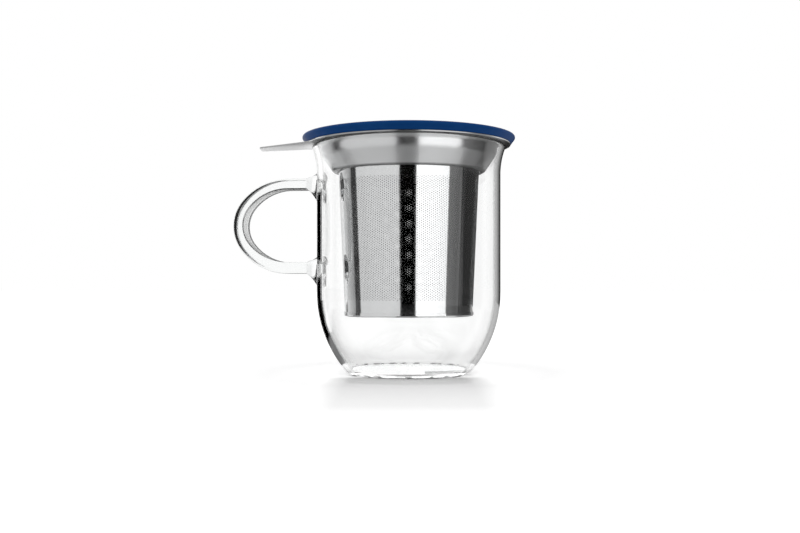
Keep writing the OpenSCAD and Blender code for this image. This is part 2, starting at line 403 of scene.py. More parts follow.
class Graph:
    """A short way to add and wire nodes in one node tree."""

    def __init__(self, tree: bpy.types.NodeTree) -> None:
        """Starts with an empty tree."""
        self.tree = tree
        tree.nodes.clear()

    def add(self, kind: str, inputs: dict | None = None, **settings: object) -> bpy.types.Node:
        """Adds a node, sets its properties, and fills or links its inputs.

        Args:
            kind: The node's type name without its ShaderNode prefix.
            inputs: Input names or numbers, each with a constant or the value that feeds it.
            **settings: Properties of the node.

        Returns:
            The new node.
        """
        prefix = "" if kind.startswith("NodeGroup") else "ShaderNode"
        node = self.tree.nodes.new(prefix + kind)
        for key, value in settings.items():
            setattr(node, key, value)
        for key, value in (inputs or {}).items():
            if isinstance(value, Value):
                self.tree.links.new(value.socket, node.inputs[key])
            else:
                node.inputs[key].default_value = value
        return node

    def value(
        self, kind: str, inputs: dict | None = None, output: int | str = 0, **settings: object
    ) -> Value:
        """Adds a node as add does and returns one of its outputs."""
        return Value(self, self.add(kind, inputs, **settings).outputs[output])

    def math(self, operation: str, *values: object) -> Value:
        """Adds a Math node over numbers or values and returns its result."""
        return self.value("Math", dict(enumerate(values)), operation=operation)

    def place(self) -> Value:
        """The object's own coordinates."""
        return self.value("TexCoord", output="Object")

    def parts(self, vector: Value) -> tuple[Value, ...]:
        """The three parts of a vector."""
        return tuple(Value(self, socket) for socket in self.add("SeparateXYZ", {0: vector}).outputs)

    def radius_squared(self, x: Value, y: Value) -> Value:
        """The square of the distance from the mug's axis."""
        return x * x + y * y

    def noise(self, vector: Value, scale: object, detail: float, rough: float) -> Value:
        """Adds a Noise Texture and returns its value."""
        inputs = {"Vector": vector, "Scale": scale, "Detail": detail, "Roughness": rough}
        return self.value("TexNoise", inputs, "Fac")

    def mix(self, factor: object, first: object, second: object, blend: str = "MIX") -> Value:
        """Mixes two colours.

        Args:
            factor: The second colour's share.
            first: The first colour, a tone or a value.
            second: The second colour, a tone or a value.
            blend: How they mix.

        Returns:
            The mixed colour.
        """
        colours = [(*colour, 1.0) if isinstance(colour, tuple) else colour for colour in (first, second)]
        inputs = {"Factor": factor, 6: colours[0], 7: colours[1]}
        return self.value("Mix", inputs, 2, data_type="RGBA", blend_type=blend)

    def grey(self, shade: Value) -> Value:
        """A colour with the same shade in all three channels."""
        return self.value("CombineColor", {0: shade, 1: shade, 2: shade})

    def bump(self, distance: float, height: Value) -> Value:
        """A normal that stands for a surface height."""
        return self.value("Bump", {"Strength": 1.0, "Distance": distance, "Height": height})

    def light_path(self, output: str) -> Value:
        """One of the facts about the ray that reads the material."""
        return self.value("LightPath", output=output)

    def seen_directly(self) -> Value:
        """1 for camera, mirror and see-through rays, and 0 for light that falls on something."""
        seen = self.math("MAXIMUM", self.light_path("Is Camera Ray"), self.light_path("Is Glossy Ray"))
        return self.math("MAXIMUM", seen, self.light_path("Is Transmission Ray"))

    def towards(self, angle: float) -> tuple[Value, Value]:
        """Lengths on the table, forward in a direction and to its right.

        Forward is x sin a - y cos a, and to the right is x cos a + y sin a.

        Args:
            angle: The direction's angle in radians, from -Y round to +X.

        Returns:
            Both lengths.
        """
        x, y, _ = self.parts(self.place())
        s, c = math.sin(angle), math.cos(angle)
        return x * s - y * c, x * c + y * s


def new_material(name: str) -> tuple[Material, Graph]:
    """Makes a material with an empty node tree.

    Args:
        name: The material's name.

    Returns:
        The material, and the graph that fills it.
    """
    material = bpy.data.materials.new(name)
    material.use_nodes = True
    return material, Graph(material.node_tree)


def node_group(name: str, inputs: dict[str, float], outputs: list[str]) -> tuple[Graph, dict[str, Value]]:
    """Makes an empty shader node group with number inputs and outputs.

    Args:
        name: The group's name.
        inputs: Each input's name and default value.
        outputs: Each output's name.

    Returns:
        The group's graph, and its inputs by name.
    """
    tree = bpy.data.node_groups.new(name, "ShaderNodeTree")
    graph = Graph(tree)
    for label, value in inputs.items():
        socket = tree.interface.new_socket(name=label, in_out="INPUT", socket_type="NodeSocketFloat")
        socket.default_value = value
    for label in outputs:
        tree.interface.new_socket(name=label, in_out="OUTPUT", socket_type="NodeSocketFloat")
    given = graph.add("NodeGroupInput")
    return graph, {label: Value(graph, given.outputs[label]) for label in inputs}


# -------- Finishes --------


class Grain(Enum):
    """Which way the fine lines of a rolled or turned sheet run."""

    AROUND = "around"
    UPWARDS = "upwards"


@dataclass
class SharedEffects:
    """Shader node groups that more than one finish uses, each built once."""

    grain_radius: float = 0.03
    lengthwise: float = 0.02
    broad_scale: float = 420.0
    fine_share: float = 0.65
    broad_share: float = 0.35
    full_marks: float = 0.9

    def __post_init__(self) -> None:
        """Builds the groups."""
        self.grain = {kind: self._grain(kind) for kind in Grain}
        self.handling = self._handling()

    def _grain(self, kind: Grain) -> bpy.types.NodeTree:
        """Fine lines round the axis or up the wall, as a brightness, a roughness and a surface height.

        The object's coordinates become a length round the axis, which is the angle times the grain
        radius, the height and the radius. Noise on them is stretched fifty times along the lines, so
        that it reads as turning or rolling marks. Across lines round the axis it runs by the radius and
        the height together.

        Args:
            kind: Which way the lines run.

        Returns:
            The node group.
        """
        graph, given = node_group(
            f"{kind.value}_grain",
            {"Fineness": 2600.0, "Tint Depth": 0.05, "Base Roughness": 0.2, "Roughness Depth": 0.08},
            ["Tint", "Roughness", "Height"],
        )
        x, y, z = graph.parts(graph.place())
        radius = graph.math("SQRT", graph.radius_squared(x, y))
        bent = graph.math("ARCTAN2", y, x) * self.grain_radius
        if kind is Grain.AROUND:
            along, across = bent * self.lengthwise, radius + z
        else:
            along, across = z * self.lengthwise, bent
        lines = graph.value("CombineXYZ", {0: along, 1: across, 2: radius * self.lengthwise})
        fine = graph.noise(lines, given["Fineness"], detail=3.0, rough=0.65)
        broad = graph.noise(lines, self.broad_scale, detail=2.0, rough=0.5)
        height = fine * self.fine_share + broad * self.broad_share
        swing = height - 0.5
        tint = 1.0 + swing * given["Tint Depth"]
        rough = given["Base Roughness"] + swing * given["Roughness Depth"]
        graph.add("NodeGroupOutput", {"Tint": tint, "Roughness": rough, "Height": height})
        return graph.tree

    def _handling(self) -> bpy.types.NodeTree:
        """Faint smears and dust from use: soft cloudy patches, as an amount from 0 to 1.

        Returns:
            The node group.
        """
        graph, given = node_group("handling_marks", {"Patch Size": 0.02, "Cover": 0.45}, ["Amount"])
        scale = graph.math("DIVIDE", 1.0, given["Patch Size"])
        cloud = graph.noise(graph.place(), scale, detail=4.0, rough=0.6)
        amount = cloud.ramp(1.0 - given["Cover"], self.full_marks, 0.0, 1.0)
        graph.add("NodeGroupOutput", {"Amount": amount})
        return graph.tree

    def marks(self, graph: Graph, patch_size: float, cover: float) -> Value:
        """Places the handling marks in a material, with its own patch size and cover."""
        return graph.value("Group", {"Patch Size": patch_size, "Cover": cover}, node_tree=self.handling)


@dataclass(frozen=True)
class SheetSteel:
    """Stainless steel sheet with fine lines from turning or rolling.

    Where the shaded height is set, the sheet's underside is darkened up to it as painted shade for the corner
    under the sheet, and the fade says how the painted shade ends above it.
    """

    name: str
    grain: Grain
    tone: Tone = (0.76, 0.765, 0.77)
    roughness: float = 0.2
    roughness_depth: float = 0.1
    tint_depth: float = 0.08
    line_height: float = 0.000004
    fineness: float = 2600.0
    stretch: float = 0.0
    stretch_turn: float = 0.25
    patch_size: float = 0.018
    cover: float = 0.45
    dulling: float = 0.05
    # Share of the colour kept on the side that faces the axis; below 1 it is painted shade inside the basket.
    inner_shade_share: float = 1.0
    inner_roughness: float = 0.0
    painted_shade_height: float = 0.0
    painted_shade_fade: Span = (0.0003, 0.0011, 0.22, 1.0)

    def material(self, effects: SharedEffects) -> Material:
        """Builds the metal: grain drives its tint, roughness and bump, handling marks dull it, and painted
        shade can darken its inner side and the corner under it.

        Args:
            effects: The shared node groups.

        Returns:
            The material.
        """
        material, graph = new_material(self.name)
        values = {
            "Fineness": self.fineness,
            "Tint Depth": self.tint_depth,
            "Base Roughness": self.roughness,
            "Roughness Depth": self.roughness_depth,
        }
        grain = graph.add("Group", values, node_tree=effects.grain[self.grain])
        tint, rough, height = (Value(graph, socket) for socket in grain.outputs)
        inner = self._inner_side(graph)
        rough = rough + effects.marks(graph, self.patch_size, self.cover) * self.dulling
        rough = rough + inner * self.inner_roughness
        # The inner side keeps only its share of the colour, as painted shade.
        shade = tint * inner.ramp(0, 1, 1.0, self.inner_shade_share)
        # The underside below the ledge is darkened as painted shade for the corner under the sheet.
        if self.painted_shade_height > 0:
            shade = shade * self._painted_corner_shade(graph)
        surface = graph.value(
            "BsdfPrincipled",
            {
                "Base Color": graph.mix(1.0, self.tone, graph.grey(shade), "MULTIPLY"),
                "Metallic": 1.0,
                "Roughness": rough,
                "Anisotropic": self.stretch,
                "Anisotropic Rotation": self.stretch_turn,
                "Tangent": graph.value("Tangent", direction_type="RADIAL", axis="Z"),
                "Normal": graph.bump(self.line_height, height),
            },
        )
        graph.add("OutputMaterial", {0: surface})
        return material

    @staticmethod
    def _inner_side(graph: Graph) -> Value:
        """1 where the sheet faces the mug's axis and 0 where it faces away from it.

        Args:
            graph: The material's graph.

        Returns:
            The answer, from the sign of the normal times the way outwards.
        """
        outwards = graph.value("VectorMath", {0: graph.place(), 1: (1.0, 1.0, 0.0)}, operation="MULTIPLY")
        normal = graph.value("NewGeometry", output="Normal")
        facing = graph.value("VectorMath", {0: normal, 1: outwards}, "Value", operation="DOT_PRODUCT")
        return graph.math("LESS_THAN", facing, 0.0)

    def _painted_corner_shade(self, graph: Graph) -> Value:
        """Painted shade in the corner under the sheet: the share of colour that is left there, by height.

        Args:
            graph: The material's graph.

        Returns:
            The share, which is 1 on faces that look up.
        """
        low, high, dark, plain = self.painted_shade_fade
        upwards = graph.parts(graph.value("NewGeometry", output="Normal"))[2]
        height = graph.parts(graph.place())[2] + graph.math("GREATER_THAN", upwards, 0.0)
        return height.ramp(self.painted_shade_height + low, self.painted_shade_height + high, dark, plain)


@dataclass(frozen=True)
class BlownGlass:
    """Clear borosilicate glass with the faint waves of blowing and a trace of handling.

    It is greyer from thick_from towards the handle, darkens towards its edges elsewhere as painted shade, and
    its foot has painted dark dashes outside a radius, as painted shade where it meets the table, which are
    full up to a share of their height and end there.
    """

    name: str = "clear_glass"
    tone: Tone = (0.998, 1.0, 0.999)
    edge_shade_tone: Tone = (0.42, 0.44, 0.44)
    edge_shade_from: float = 0.74
    thick_tone: Tone = (0.85, 0.858, 0.856)
    thick_from: float = -0.0442
    thick_fade: float = 0.0006
    contact_shade_tone: Tone = (0.02, 0.021, 0.021)
    contact_shade_radius: float = 0.0275
    contact_shade_fade: float = 0.0003
    contact_shade_size: float = 0.0036
    contact_shade_height: float = 0.0016
    contact_shade_full: float = 0.25
    contact_shade_cover: Span = (0.44, 0.56, 0.0, 1.0)
    patch_size: float = 0.03
    cover: float = 0.3
    smear: float = 0.006
    ior: float = 1.472
    wave_size: float = 0.012
    wave_height: float = 0.00001

    def material(self, effects: SharedEffects) -> Material:
        """Builds the glass: long waves, edges darkened as painted shade, a greyer handle and a foot with
        painted dark dashes of contact shade.

        Args:
            effects: The shared node groups.

        Returns:
            The material.
        """
        material, graph = new_material(self.name)
        where = graph.place()
        x, y, z = graph.parts(where)
        thick = x.ramp(self.thick_from - self.thick_fade, self.thick_from, 1.0, 0.0)
        # Towards its edges the glass is darkened as painted shade, but not in the handle.
        facing = graph.value("LayerWeight", {"Blend": 0.5}, "Facing")
        edge = facing.ramp(self.edge_shade_from, 1.0, 0.0, 1.0) * (1.0 - thick)
        tone = graph.mix(edge, graph.mix(thick, self.tone, self.thick_tone), self.edge_shade_tone)
        # Painted dark dashes round the foot's lower edge: painted shade where the glass meets the table.
        dashes = graph.noise(where, 1 / self.contact_shade_size, detail=1.0, rough=0.5)
        contact_shade = dashes.ramp(*self.contact_shade_cover)
        contact_shade = contact_shade * z.ramp(self.contact_shade_full * self.contact_shade_height, self.contact_shade_height, 1.0, 0.0)
        outer = (self.contact_shade_radius + self.contact_shade_fade) ** 2
        contact_shade = contact_shade * graph.radius_squared(x, y).ramp(self.contact_shade_radius**2, outer, 0.0, 1.0)
        waves = graph.noise(where, 1 / self.wave_size, detail=1.0, rough=0.4)
        surface = graph.value(
            "BsdfPrincipled",
            {
                "Base Color": graph.mix(contact_shade, tone, self.contact_shade_tone),
                "Roughness": effects.marks(graph, self.patch_size, self.cover) * self.smear,
                "IOR": self.ior,
                "Transmission Weight": 1.0,
                "Normal": graph.bump(self.wave_height, waves),
            },
        )
        graph.add("OutputMaterial", {0: surface})
        return material


@dataclass(frozen=True)
class SoftRubber:
    """Satin silicone: one deep colour with a fine pebble from the mould and a little dust."""

    name: str = "navy_silicone"
    tone: Tone = (0.0010, 0.053, 0.215)
    worn_tone: Tone = (0.006, 0.070, 0.250)
    roughness: float = 0.42
    shine: float = 0.09
    patch_size: float = 0.009
    cover: float = 0.5
    dulling: float = 0.12
    pebble_size: float = 0.00035
    pebble_height: float = 0.000006

    def material(self, effects: SharedEffects) -> Material:
        """Builds the silicone: handling marks pale it and roughen it, and a fine pebble breaks the shine.

        Args:
            effects: The shared node groups.

        Returns:
            The material.
        """
        material, graph = new_material(self.name)
        marks = effects.marks(graph, self.patch_size, self.cover)
        pebble = graph.noise(graph.place(), 1 / self.pebble_size, detail=2.0, rough=0.5)
        surface = graph.value(
            "BsdfPrincipled",
            {
                "Base Color": graph.mix(marks, self.tone, self.worn_tone),
                "Roughness": self.roughness + marks * self.dulling,
                "Specular IOR Level": self.shine,
                "Normal": graph.bump(self.pebble_height, pebble),
            },
        )
        graph.add("OutputMaterial", {0: surface})
        return material


@dataclass(frozen=True)
class PaleTable:
    """The table's finish: matt, and white where it is seen directly.

    It glows only for rays that see it directly, by its distance away from the mug's axis, and that glow holds
    painted light and painted shade round the mug. For rays that pass through the glass it dims towards the
    right, as painted shade. A soft darker patch in front of the foot, a painted reflection of the mug, and a
    broken ring round the foot, a painted contact shadow, are painted on it at a fixed place. The lengths
    forward and sideways are reckoned from the axis in the direction in which the painted reflection lies.
    """

    name: str = "pale_table"
    shade: float = 0.85
    roughness: float = 0.22
    near_glow: Span = (0.03, 0.11, 0.36, 0.5)
    far_glow: Span = (0.11, 0.15, 0.0, 0.03)
    foot_painted_shade: Span = (0.024, 0.028, -0.06, 0.0)
    beside_painted_light: Span = (0.0, 1.0, 0.08, 0.0)
    close_painted_light: Span = (0.037, 0.065, 0.22, 0.0)
    reflection_width: Span = (0.026, 0.036, 1.0, 0.0)
    reflection_near: Span = (0.03, 0.066, 0.38, 0.147)
    reflection_far: Span = (0.119, 0.145, 0.0, 0.147)
    reflection_start: Span = (0.02, 0.027, 0.0, 1.0)
    foot_reflection_reach: Span = (0.0525, 0.056, 0.1, 0.0)
    foot_reflection_width: Span = (0.0235, 0.028, 1, 0)
    contact_shadow_inside: Span = (0.0276, 0.0281, 0.0, 1.0)
    contact_shadow_outside: Span = (0.0297, 0.032, 1.0, 0.0)
    contact_shadow_breaks: Span = (0.45, 0.58, 0.05, 0.85)
    contact_shadow_start: Span = (0.008, 0.014, 0.0, 1.0)
    breaks_scale: float = 240.0
    glass_view_shade: Span = (0.0, 0.06, 0.0, 0.11)

    def material(self, direction: float) -> Material:
        """Builds the finish: the glow is what is plain less the painted reflection, and the ring of painted
        contact shadow takes its share of both.

        Args:
            direction: The angle in radians, from -Y round to +X, in which the painted reflection lies.

        Returns:
            The material.
        """
        material, graph = new_material(self.name)
        where = graph.place()
        x, y, _ = graph.parts(where)
        away = graph.math("SQRT", graph.radius_squared(x, y))
        forward, to_right = graph.towards(direction)
        sideways = graph.math("ABSOLUTE", to_right)
        width = sideways.ramp(*self.reflection_width)
        # The glow changes with the distance from the mug as painted light and painted shade round it: lower
        # near the foot, and raised beside the mug and to the sides of the painted reflection, where the mug's
        # own shadow falls.
        plain = away.ramp(*self.near_glow) + away.ramp(*self.far_glow) + away.ramp(*self.foot_painted_shade)
        plain = plain + width.ramp(*self.beside_painted_light) + away.ramp(*self.close_painted_light)
        # The patch is a painted reflection of the mug: darker in front of the foot and fading away from it.
        patch = (forward.ramp(*self.reflection_near) - forward.ramp(*self.reflection_far)) * width
        patch = patch + away.ramp(*self.foot_reflection_reach) * sideways.ramp(*self.foot_reflection_width)
        patch = patch * forward.ramp(*self.reflection_start)
        # The broken ring round the foot is a painted contact shadow, in both the colour and the glow.
        ring = away.ramp(*self.contact_shadow_inside) * away.ramp(*self.contact_shadow_outside)
        breaks = graph.noise(where, self.breaks_scale, detail=1.0, rough=0.5)
        ring = ring * breaks.ramp(*self.contact_shadow_breaks)
        unshadowed_share = 1.0 - ring * forward.ramp(*self.contact_shadow_start)
        surface = graph.value(
            "BsdfPrincipled",
            {
                "Base Color": graph.grey(unshadowed_share * self.shade),
                "Roughness": self.roughness,
                "Specular IOR Level": 0.0,
            },
        )
        # Seen through the glass, the table's glow is dimmed towards the right as painted shade.
        through_glass = graph.light_path("Is Transmission Ray") * to_right.ramp(*self.glass_view_shade)
        strength = graph.seen_directly() * ((plain - patch) * unshadowed_share) - through_glass
        glow = graph.value("Emission", {"Color": WHITE, "Strength": graph.math("MAXIMUM", strength, 0.0)})
        graph.add("OutputMaterial", {0: graph.value("AddShader", {0: surface, 1: glow})})
        return material


# -------- Sub-assemblies --------


@dataclass
class GlassMug:
    """The blown body with the strip handle melted on, as one piece of glass."""

    height: float = 105.1 * MM
    radius: float = 42.5 * MM
    wall: float = 2.3 * MM
    floor: float = 1.6 * MM
    belly_height: float = 37.2 * MM
    belly_curve: float = 56 * MM
    foot_round: float = 2.2 * MM
    floor_round: float = 3 * MM
    flare_height: float = 13.4 * MM
    flare_curve: float = 35 * MM

    strip: float = 4.7 * MM
    low_strip: float = 5.3 * MM
    strip_width: float = 12.5 * MM
    strip_round: float = 0.9 * MM
    reach: float = 82.2 * MM
    loop_height: float = 44.2 * MM
    loop_middle: float = 68.1 * MM
    loop_length: float = 25.9 * MM
    loop_back: float = 18.5 * MM
    seat_height: float = 14.5 * MM
    seat_width: float = 16.4 * MM
    seat_length: float = 5 * MM
    seat_drop: float = 1.8 * MM
    seat_taper: float = 1.6
    seat_roundness: float = 0.48
    bead_rise: float = 0.35 * MM
    bead_place: float = 3.7 * MM
    bead_width: float = 0.55 * MM

    columns: int = 256
    window_columns: int = 24
    window_rows: int = 20
    row_step: float = 1 * MM
    straight_step: float = 3 * MM
    foot_rows: int = 6
    floor_rows: int = 7
    belly_steps: int = 26
    foot_steps: int = 8
    floor_steps: int = 10
    flare_steps: int = 10
    inner_flare_steps: int = 12
    lip_steps: int = 14
    corner_steps: int = 10
    seat_rings: int = 17
    slide_rings: int = 4
    arm_rings: int = 10
    loop_rings: int = 121
    sharp: float = 60

    def __post_init__(self) -> None:
        """Works out the centres that the profile's arcs share."""
        self.flare_start = self.height - self.flare_height
        self.belly_centre = (self.radius - self.belly_curve, self.belly_height)
        self.flare_centre = (self.radius + self.flare_curve, self.flare_start)
        self.lip = self.wall / 2
        lip_rise = self.flare_height - self.lip
        self.flare_turn = math.degrees(math.asin(lip_rise / (self.flare_curve + self.lip)))

    def outer_radius(self, z: Array) -> Array:
        """Radius of the outer wall: straight, and radius + R - sqrt(R^2 - rise^2) in the flare of R."""
        rise = np.clip(z - self.flare_start, 0, None)
        return self.radius + self.flare_curve - np.sqrt(self.flare_curve**2 - rise**2)

    def _corner_on_belly(self, curve: float, radius: float, base: float) -> tuple[tuple[float, float], float]:
        """Finds the round that is tangent to the belly's arc and to a flat.

        Its centre lies a radius above the flat, and the belly's curve less the radius from the belly's
        centre.

        Args:
            curve: The belly's radius of curvature.
            radius: The round's radius.
            base: The flat's height.

        Returns:
            The round's centre, and the angle in degrees at which it meets the belly.
        """
        rise = base + radius
        reach = math.sqrt((curve - radius) ** 2 - (self.belly_height - rise) ** 2)
        centre = (self.belly_centre[0] + reach, rise)
        return centre, math.degrees(math.atan2(rise - self.belly_height, reach))

    def _belly(self, curve: float, start: float) -> Array:
        """The belly's arc of radius curve, from angle start up to the straight wall."""
        return arc(self.belly_centre, curve, start, 0, self.belly_steps)

    def profile(self) -> tuple[Array, int]:
        """The whole section from the foot's centre, up the outside, over the lip and down the inside.

        It is a flat foot, a round, the belly's arc, a straight wall, the flare's arc and half a circle
        over the lip, and the same inside, one wall in from it.

        Returns:
            Radius and height of each row, and the row where the evenly spaced rows of the handle's
            zone start.
        """
        foot, foot_turn = self._corner_on_belly(self.belly_curve, self.foot_round, 0)
        outside = [
            np.column_stack([np.linspace(0, foot[0], self.foot_rows + 1)[:-1], np.zeros(self.foot_rows)]),
            arc(foot, self.foot_round, -90, foot_turn, self.foot_steps)[:-1],
            self._belly(self.belly_curve, foot_turn)[:-1],
        ]
        start_row = sum(len(rows) for rows in outside)
        # The handle's zone is a window, as much plain wall, and a window.
        heights = self.belly_height + self.row_step * np.arange(3 * self.window_rows + 1)
        zone = np.column_stack([self.outer_radius(heights), heights])
        last_turn = math.degrees(math.asin((heights[-1] - self.flare_start) / self.flare_curve))
        lip_turn = 180 - self.flare_turn
        flare = arc(self.flare_centre, self.flare_curve, 180 - last_turn, lip_turn, self.flare_steps)[1:]
        turn = math.radians(self.flare_turn)
        lip_reach = self.flare_curve + self.lip
        lip_centre = (
            self.flare_centre[0] - lip_reach * math.cos(turn),
            self.flare_centre[1] + lip_reach * math.sin(turn),
        )
        lip = arc(lip_centre, self.lip, -self.flare_turn, lip_turn, self.lip_steps)[1:]
        inner_flare = arc(
            self.flare_centre, self.flare_curve + self.wall, lip_turn, 180, self.inner_flare_steps
        )[1:]
        straight_end = [self.radius - self.wall, self.belly_height]
        straight = spaced(np.array([inner_flare[-1], straight_end]), self.straight_step)[1:]
        inner_curve = self.belly_curve - self.wall
        corner, corner_turn = self._corner_on_belly(inner_curve, self.floor_round, self.floor)
        inner_belly = self._belly(inner_curve, corner_turn)[::-1][1:]
        inner_corner = arc(corner, self.floor_round, corner_turn, -90, self.floor_steps)[1:]
        floor_radii = np.linspace(corner[0], 0, self.floor_rows + 1)[1:]
        floor = np.column_stack([floor_radii, np.full(self.floor_rows, self.floor)])
        inside = [inner_flare, straight, inner_belly, inner_corner, floor]
        return np.vstack([*outside, zone, flare, lip, *inside]), start_row

    def _window_loop(self) -> tuple[Array, Array]:
        """Walks round a window's rim.

        It starts at the corner (-column, +row), runs along the upper side, down the far side and back,
        and the handle's sections use the same order.

        Returns:
            Column and row steps, from the window's middle, of the points round its rim.
        """
        half_c, half_r = self.window_columns // 2, self.window_rows // 2
        across = np.arange(-half_c, half_c)
        down = np.arange(half_r, -half_r, -1)
        column = np.concatenate([across, np.full(len(down), half_c), -across, np.full(len(down), -half_c)])
        row = np.concatenate([np.full(len(across), half_r), down, np.full(len(across), -half_r), -down])
        return column, row

    def _sections(self, thick: Array, wide: Array, rounding: Array) -> Array:
        """Rounded rectangles of many stations, with a point for each point of the window's rim.

        Each corner is an arc of radius rounding about a centre that lies as far in from both sides, and
        the straight sides share the rest evenly. The first point is the middle of a corner.

        Args:
            thick: The thickness at each station.
            wide: The width at each station.
            rounding: The corners' radius at each station.

        Returns:
            An array (stations, points, 2) of places along the thickness and the width.
        """
        corner = np.radians(np.linspace(0, 90, self.corner_steps + 1))
        size = np.stack([thick, wide], axis=-1)[:, None, :] / 2
        inset = rounding[:, None, None]
        arcs = [
            np.array(signs) * (size - inset) + inset * unit(corner + math.radians(start))
            for signs, start in (((1, -1), -90), ((1, 1), 0), ((-1, 1), 90), ((-1, -1), 180))
        ]
        parts = []
        for k, cells in enumerate((self.window_columns, self.window_rows) * 2):
            a, b = arcs[k][:, -1:], arcs[(k + 1) % 4][:, :1]
            share = np.linspace(0, 1, cells - self.corner_steps + 1)[1:-1][None, :, None]
            parts += [arcs[k], a + (b - a) * share]
        return np.roll(np.concatenate(parts, axis=1), -self.corner_steps // 2, axis=1)

    def _seat(self, side: int, thick: float, rim: Array) -> Array:
        """Rings from the window's rim over the melted seat to the plain strip.

        On the wall the rings slide from the rim to the seat's outline. Off the wall the outline's growth
        at the share t of the seat's length is its growth at the wall times (1 - t) to the power of the
        taper, so the seat stands on the wall like a cone and runs out tangent to the strip. A low bead, a
        bell curve, lies round its neck.

        Args:
            side: 1 for the upper arm and -1 for the lower one.
            thick: The strip's thickness there.
            rim: The window's rim, points on the wall.

        Returns:
            An array (rings, points, 3) that starts after the rim.
        """
        run = np.linspace(0, 1, self.seat_rings)
        out = self.seat_length * run
        share = (1 - run) ** self.seat_taper
        bead = self.bead_rise * np.exp(-(((out - self.bead_place) / self.bead_width) ** 2))
        flat = self._sections(
            thick + (self.seat_height - thick) * share + bead,
            self.strip_width + (self.seat_width - self.strip_width) * share + bead,
            self.strip_round + (self.seat_roundness * self.seat_height - self.strip_round) * share,
        )
        arm = self.loop_middle + side * (self.loop_height / 2 - thick / 2)
        z = arm - self.seat_drop * share[:, None] + side * flat[..., 0]
        y = flat[..., 1]
        slide = np.linspace(0, 1, self.slide_rings + 2)[1:-1][:, None]
        y_wall = rim[None, :, 1] + (y[:1] - rim[None, :, 1]) * slide
        z_wall = rim[None, :, 2] + (z[:1] - rim[None, :, 2]) * slide
        y, z = np.vstack([y_wall, y]), np.vstack([z_wall, z])
        out = np.concatenate([np.zeros(len(slide)), out])[:, None]
        on_wall = np.sqrt(self.outer_radius(z) ** 2 - y**2)
        ease = np.clip(out / self.seat_length, 0, 1)
        ease = ease * ease * (3 - 2 * ease)
        x = -(on_wall * (1 - ease) + self.radius * ease + out)
        return np.stack([x, y, z], axis=-1)

    def _loop(self) -> Array:
        """Rings along the strip: an arm, three tangent arcs of which the back one is tighter, and an arm.

        The point (p, q) of a section at angle a is the centre line's point + p (cos a, sin a) in the
        handle's plane, and q along Y.

        Returns:
            An array (rings, points, 3).
        """
        x0 = self.loop_length - self.reach
        half = self.loop_height / 2
        rest = half - self.loop_back
        spread = ((self.loop_length - self.loop_back) ** 2 + rest**2) / (2 * rest)
        bend = math.asin((self.loop_length - self.loop_back) / spread)
        angle = np.linspace(90, 270, self.loop_rings)
        thick = self.strip + (self.low_strip - self.strip) * ((angle - 90) / 180)
        side = np.where(angle < 180, 1, -1)
        back = (angle > 90 + math.degrees(bend)) & (angle < 270 - math.degrees(bend))
        cx = np.where(back, x0 - spread * math.sin(bend), x0)
        cz = np.where(back, self.loop_middle, self.loop_middle + side * (rest - spread))
        radius = np.where(back, self.loop_back, self.loop_back + spread) - thick / 2
        centres = np.column_stack([cx, cz]) + radius[:, None] * unit(np.radians(angle))
        neck = -self.radius - self.seat_length
        arm_x = np.linspace(neck, x0, self.arm_rings + 2)[1:-1]
        upper = np.column_stack([arm_x, np.full(len(arm_x), centres[0, 1])])
        lower = np.column_stack([arm_x[::-1], np.full(len(arm_x), centres[-1, 1])])
        centres = np.vstack([upper, centres, lower])
        angle, thick = (np.pad(values, self.arm_rings, mode="edge") for values in (angle, thick))
        wide, rounding = (np.full(len(thick), size) for size in (self.strip_width, self.strip_round))
        flat = self._sections(thick, wide, rounding)
        in_plane = centres[:, None] + flat[..., :1] * unit(np.radians(angle))[:, None]
        return np.stack([in_plane[..., 0], flat[..., 1], in_plane[..., 1]], axis=-1)

    def shell(self) -> Shell:
        """The body's surface of revolution with two windows cut in it and the handle let into them.

        Returns:
            The closed mesh.
        """
        profile, zone_row = self.profile()
        body = lathe(profile, self.columns)
        first_row = zone_row - 1
        middle = self.columns // 2
        column, row = self._window_loop()
        half_r, half_c = self.window_rows // 2, self.window_columns // 2
        middles = {1: first_row + 2 * self.window_rows + half_r, -1: first_row + half_r}
        rims = {s: (middles[s] + s * row) * self.columns + middle - column for s in (1, -1)}
        quad_row, quad_column = np.divmod(body.quads[:, 0], self.columns)
        in_columns = (quad_column >= middle - half_c) & (quad_column < middle + half_c)
        in_rows = np.zeros(len(body.quads), bool)
        for centre in middles.values():
            in_rows |= (quad_row >= centre - half_r) & (quad_row < centre + half_r)
        quads = body.quads[~(in_columns & in_rows)]
        upper = self._seat(1, self.strip, body.points[rims[1]])
        lower = self._seat(-1, self.low_strip, body.points[rims[-1]])[::-1]
        rings = np.vstack([upper, self._loop(), lower])
        index = len(body.points) + np.arange(rings[..., 0].size).reshape(rings.shape[:2])
        handle = grid_quads(np.vstack([rims[1], index, rims[-1]]), close_columns=True)
        points = np.vstack([body.points, rings.reshape(-1, 3)])
        return Shell(points, np.vstack([quads, handle]), body.triangles)

    def build(self, material: Material) -> list[Piece]:
        """Makes the glass and sets it in place of the body and the handle.

        Args:
            material: The glass.

        Returns:
            The one piece.
        """
        glass = to_object("mug_glass", self.shell(), material, self.sharp)
        point_outwards(glass)
        place(glass, "mug", Slot.GLASS, "mug_body", "mug_handle")
        return [glass]


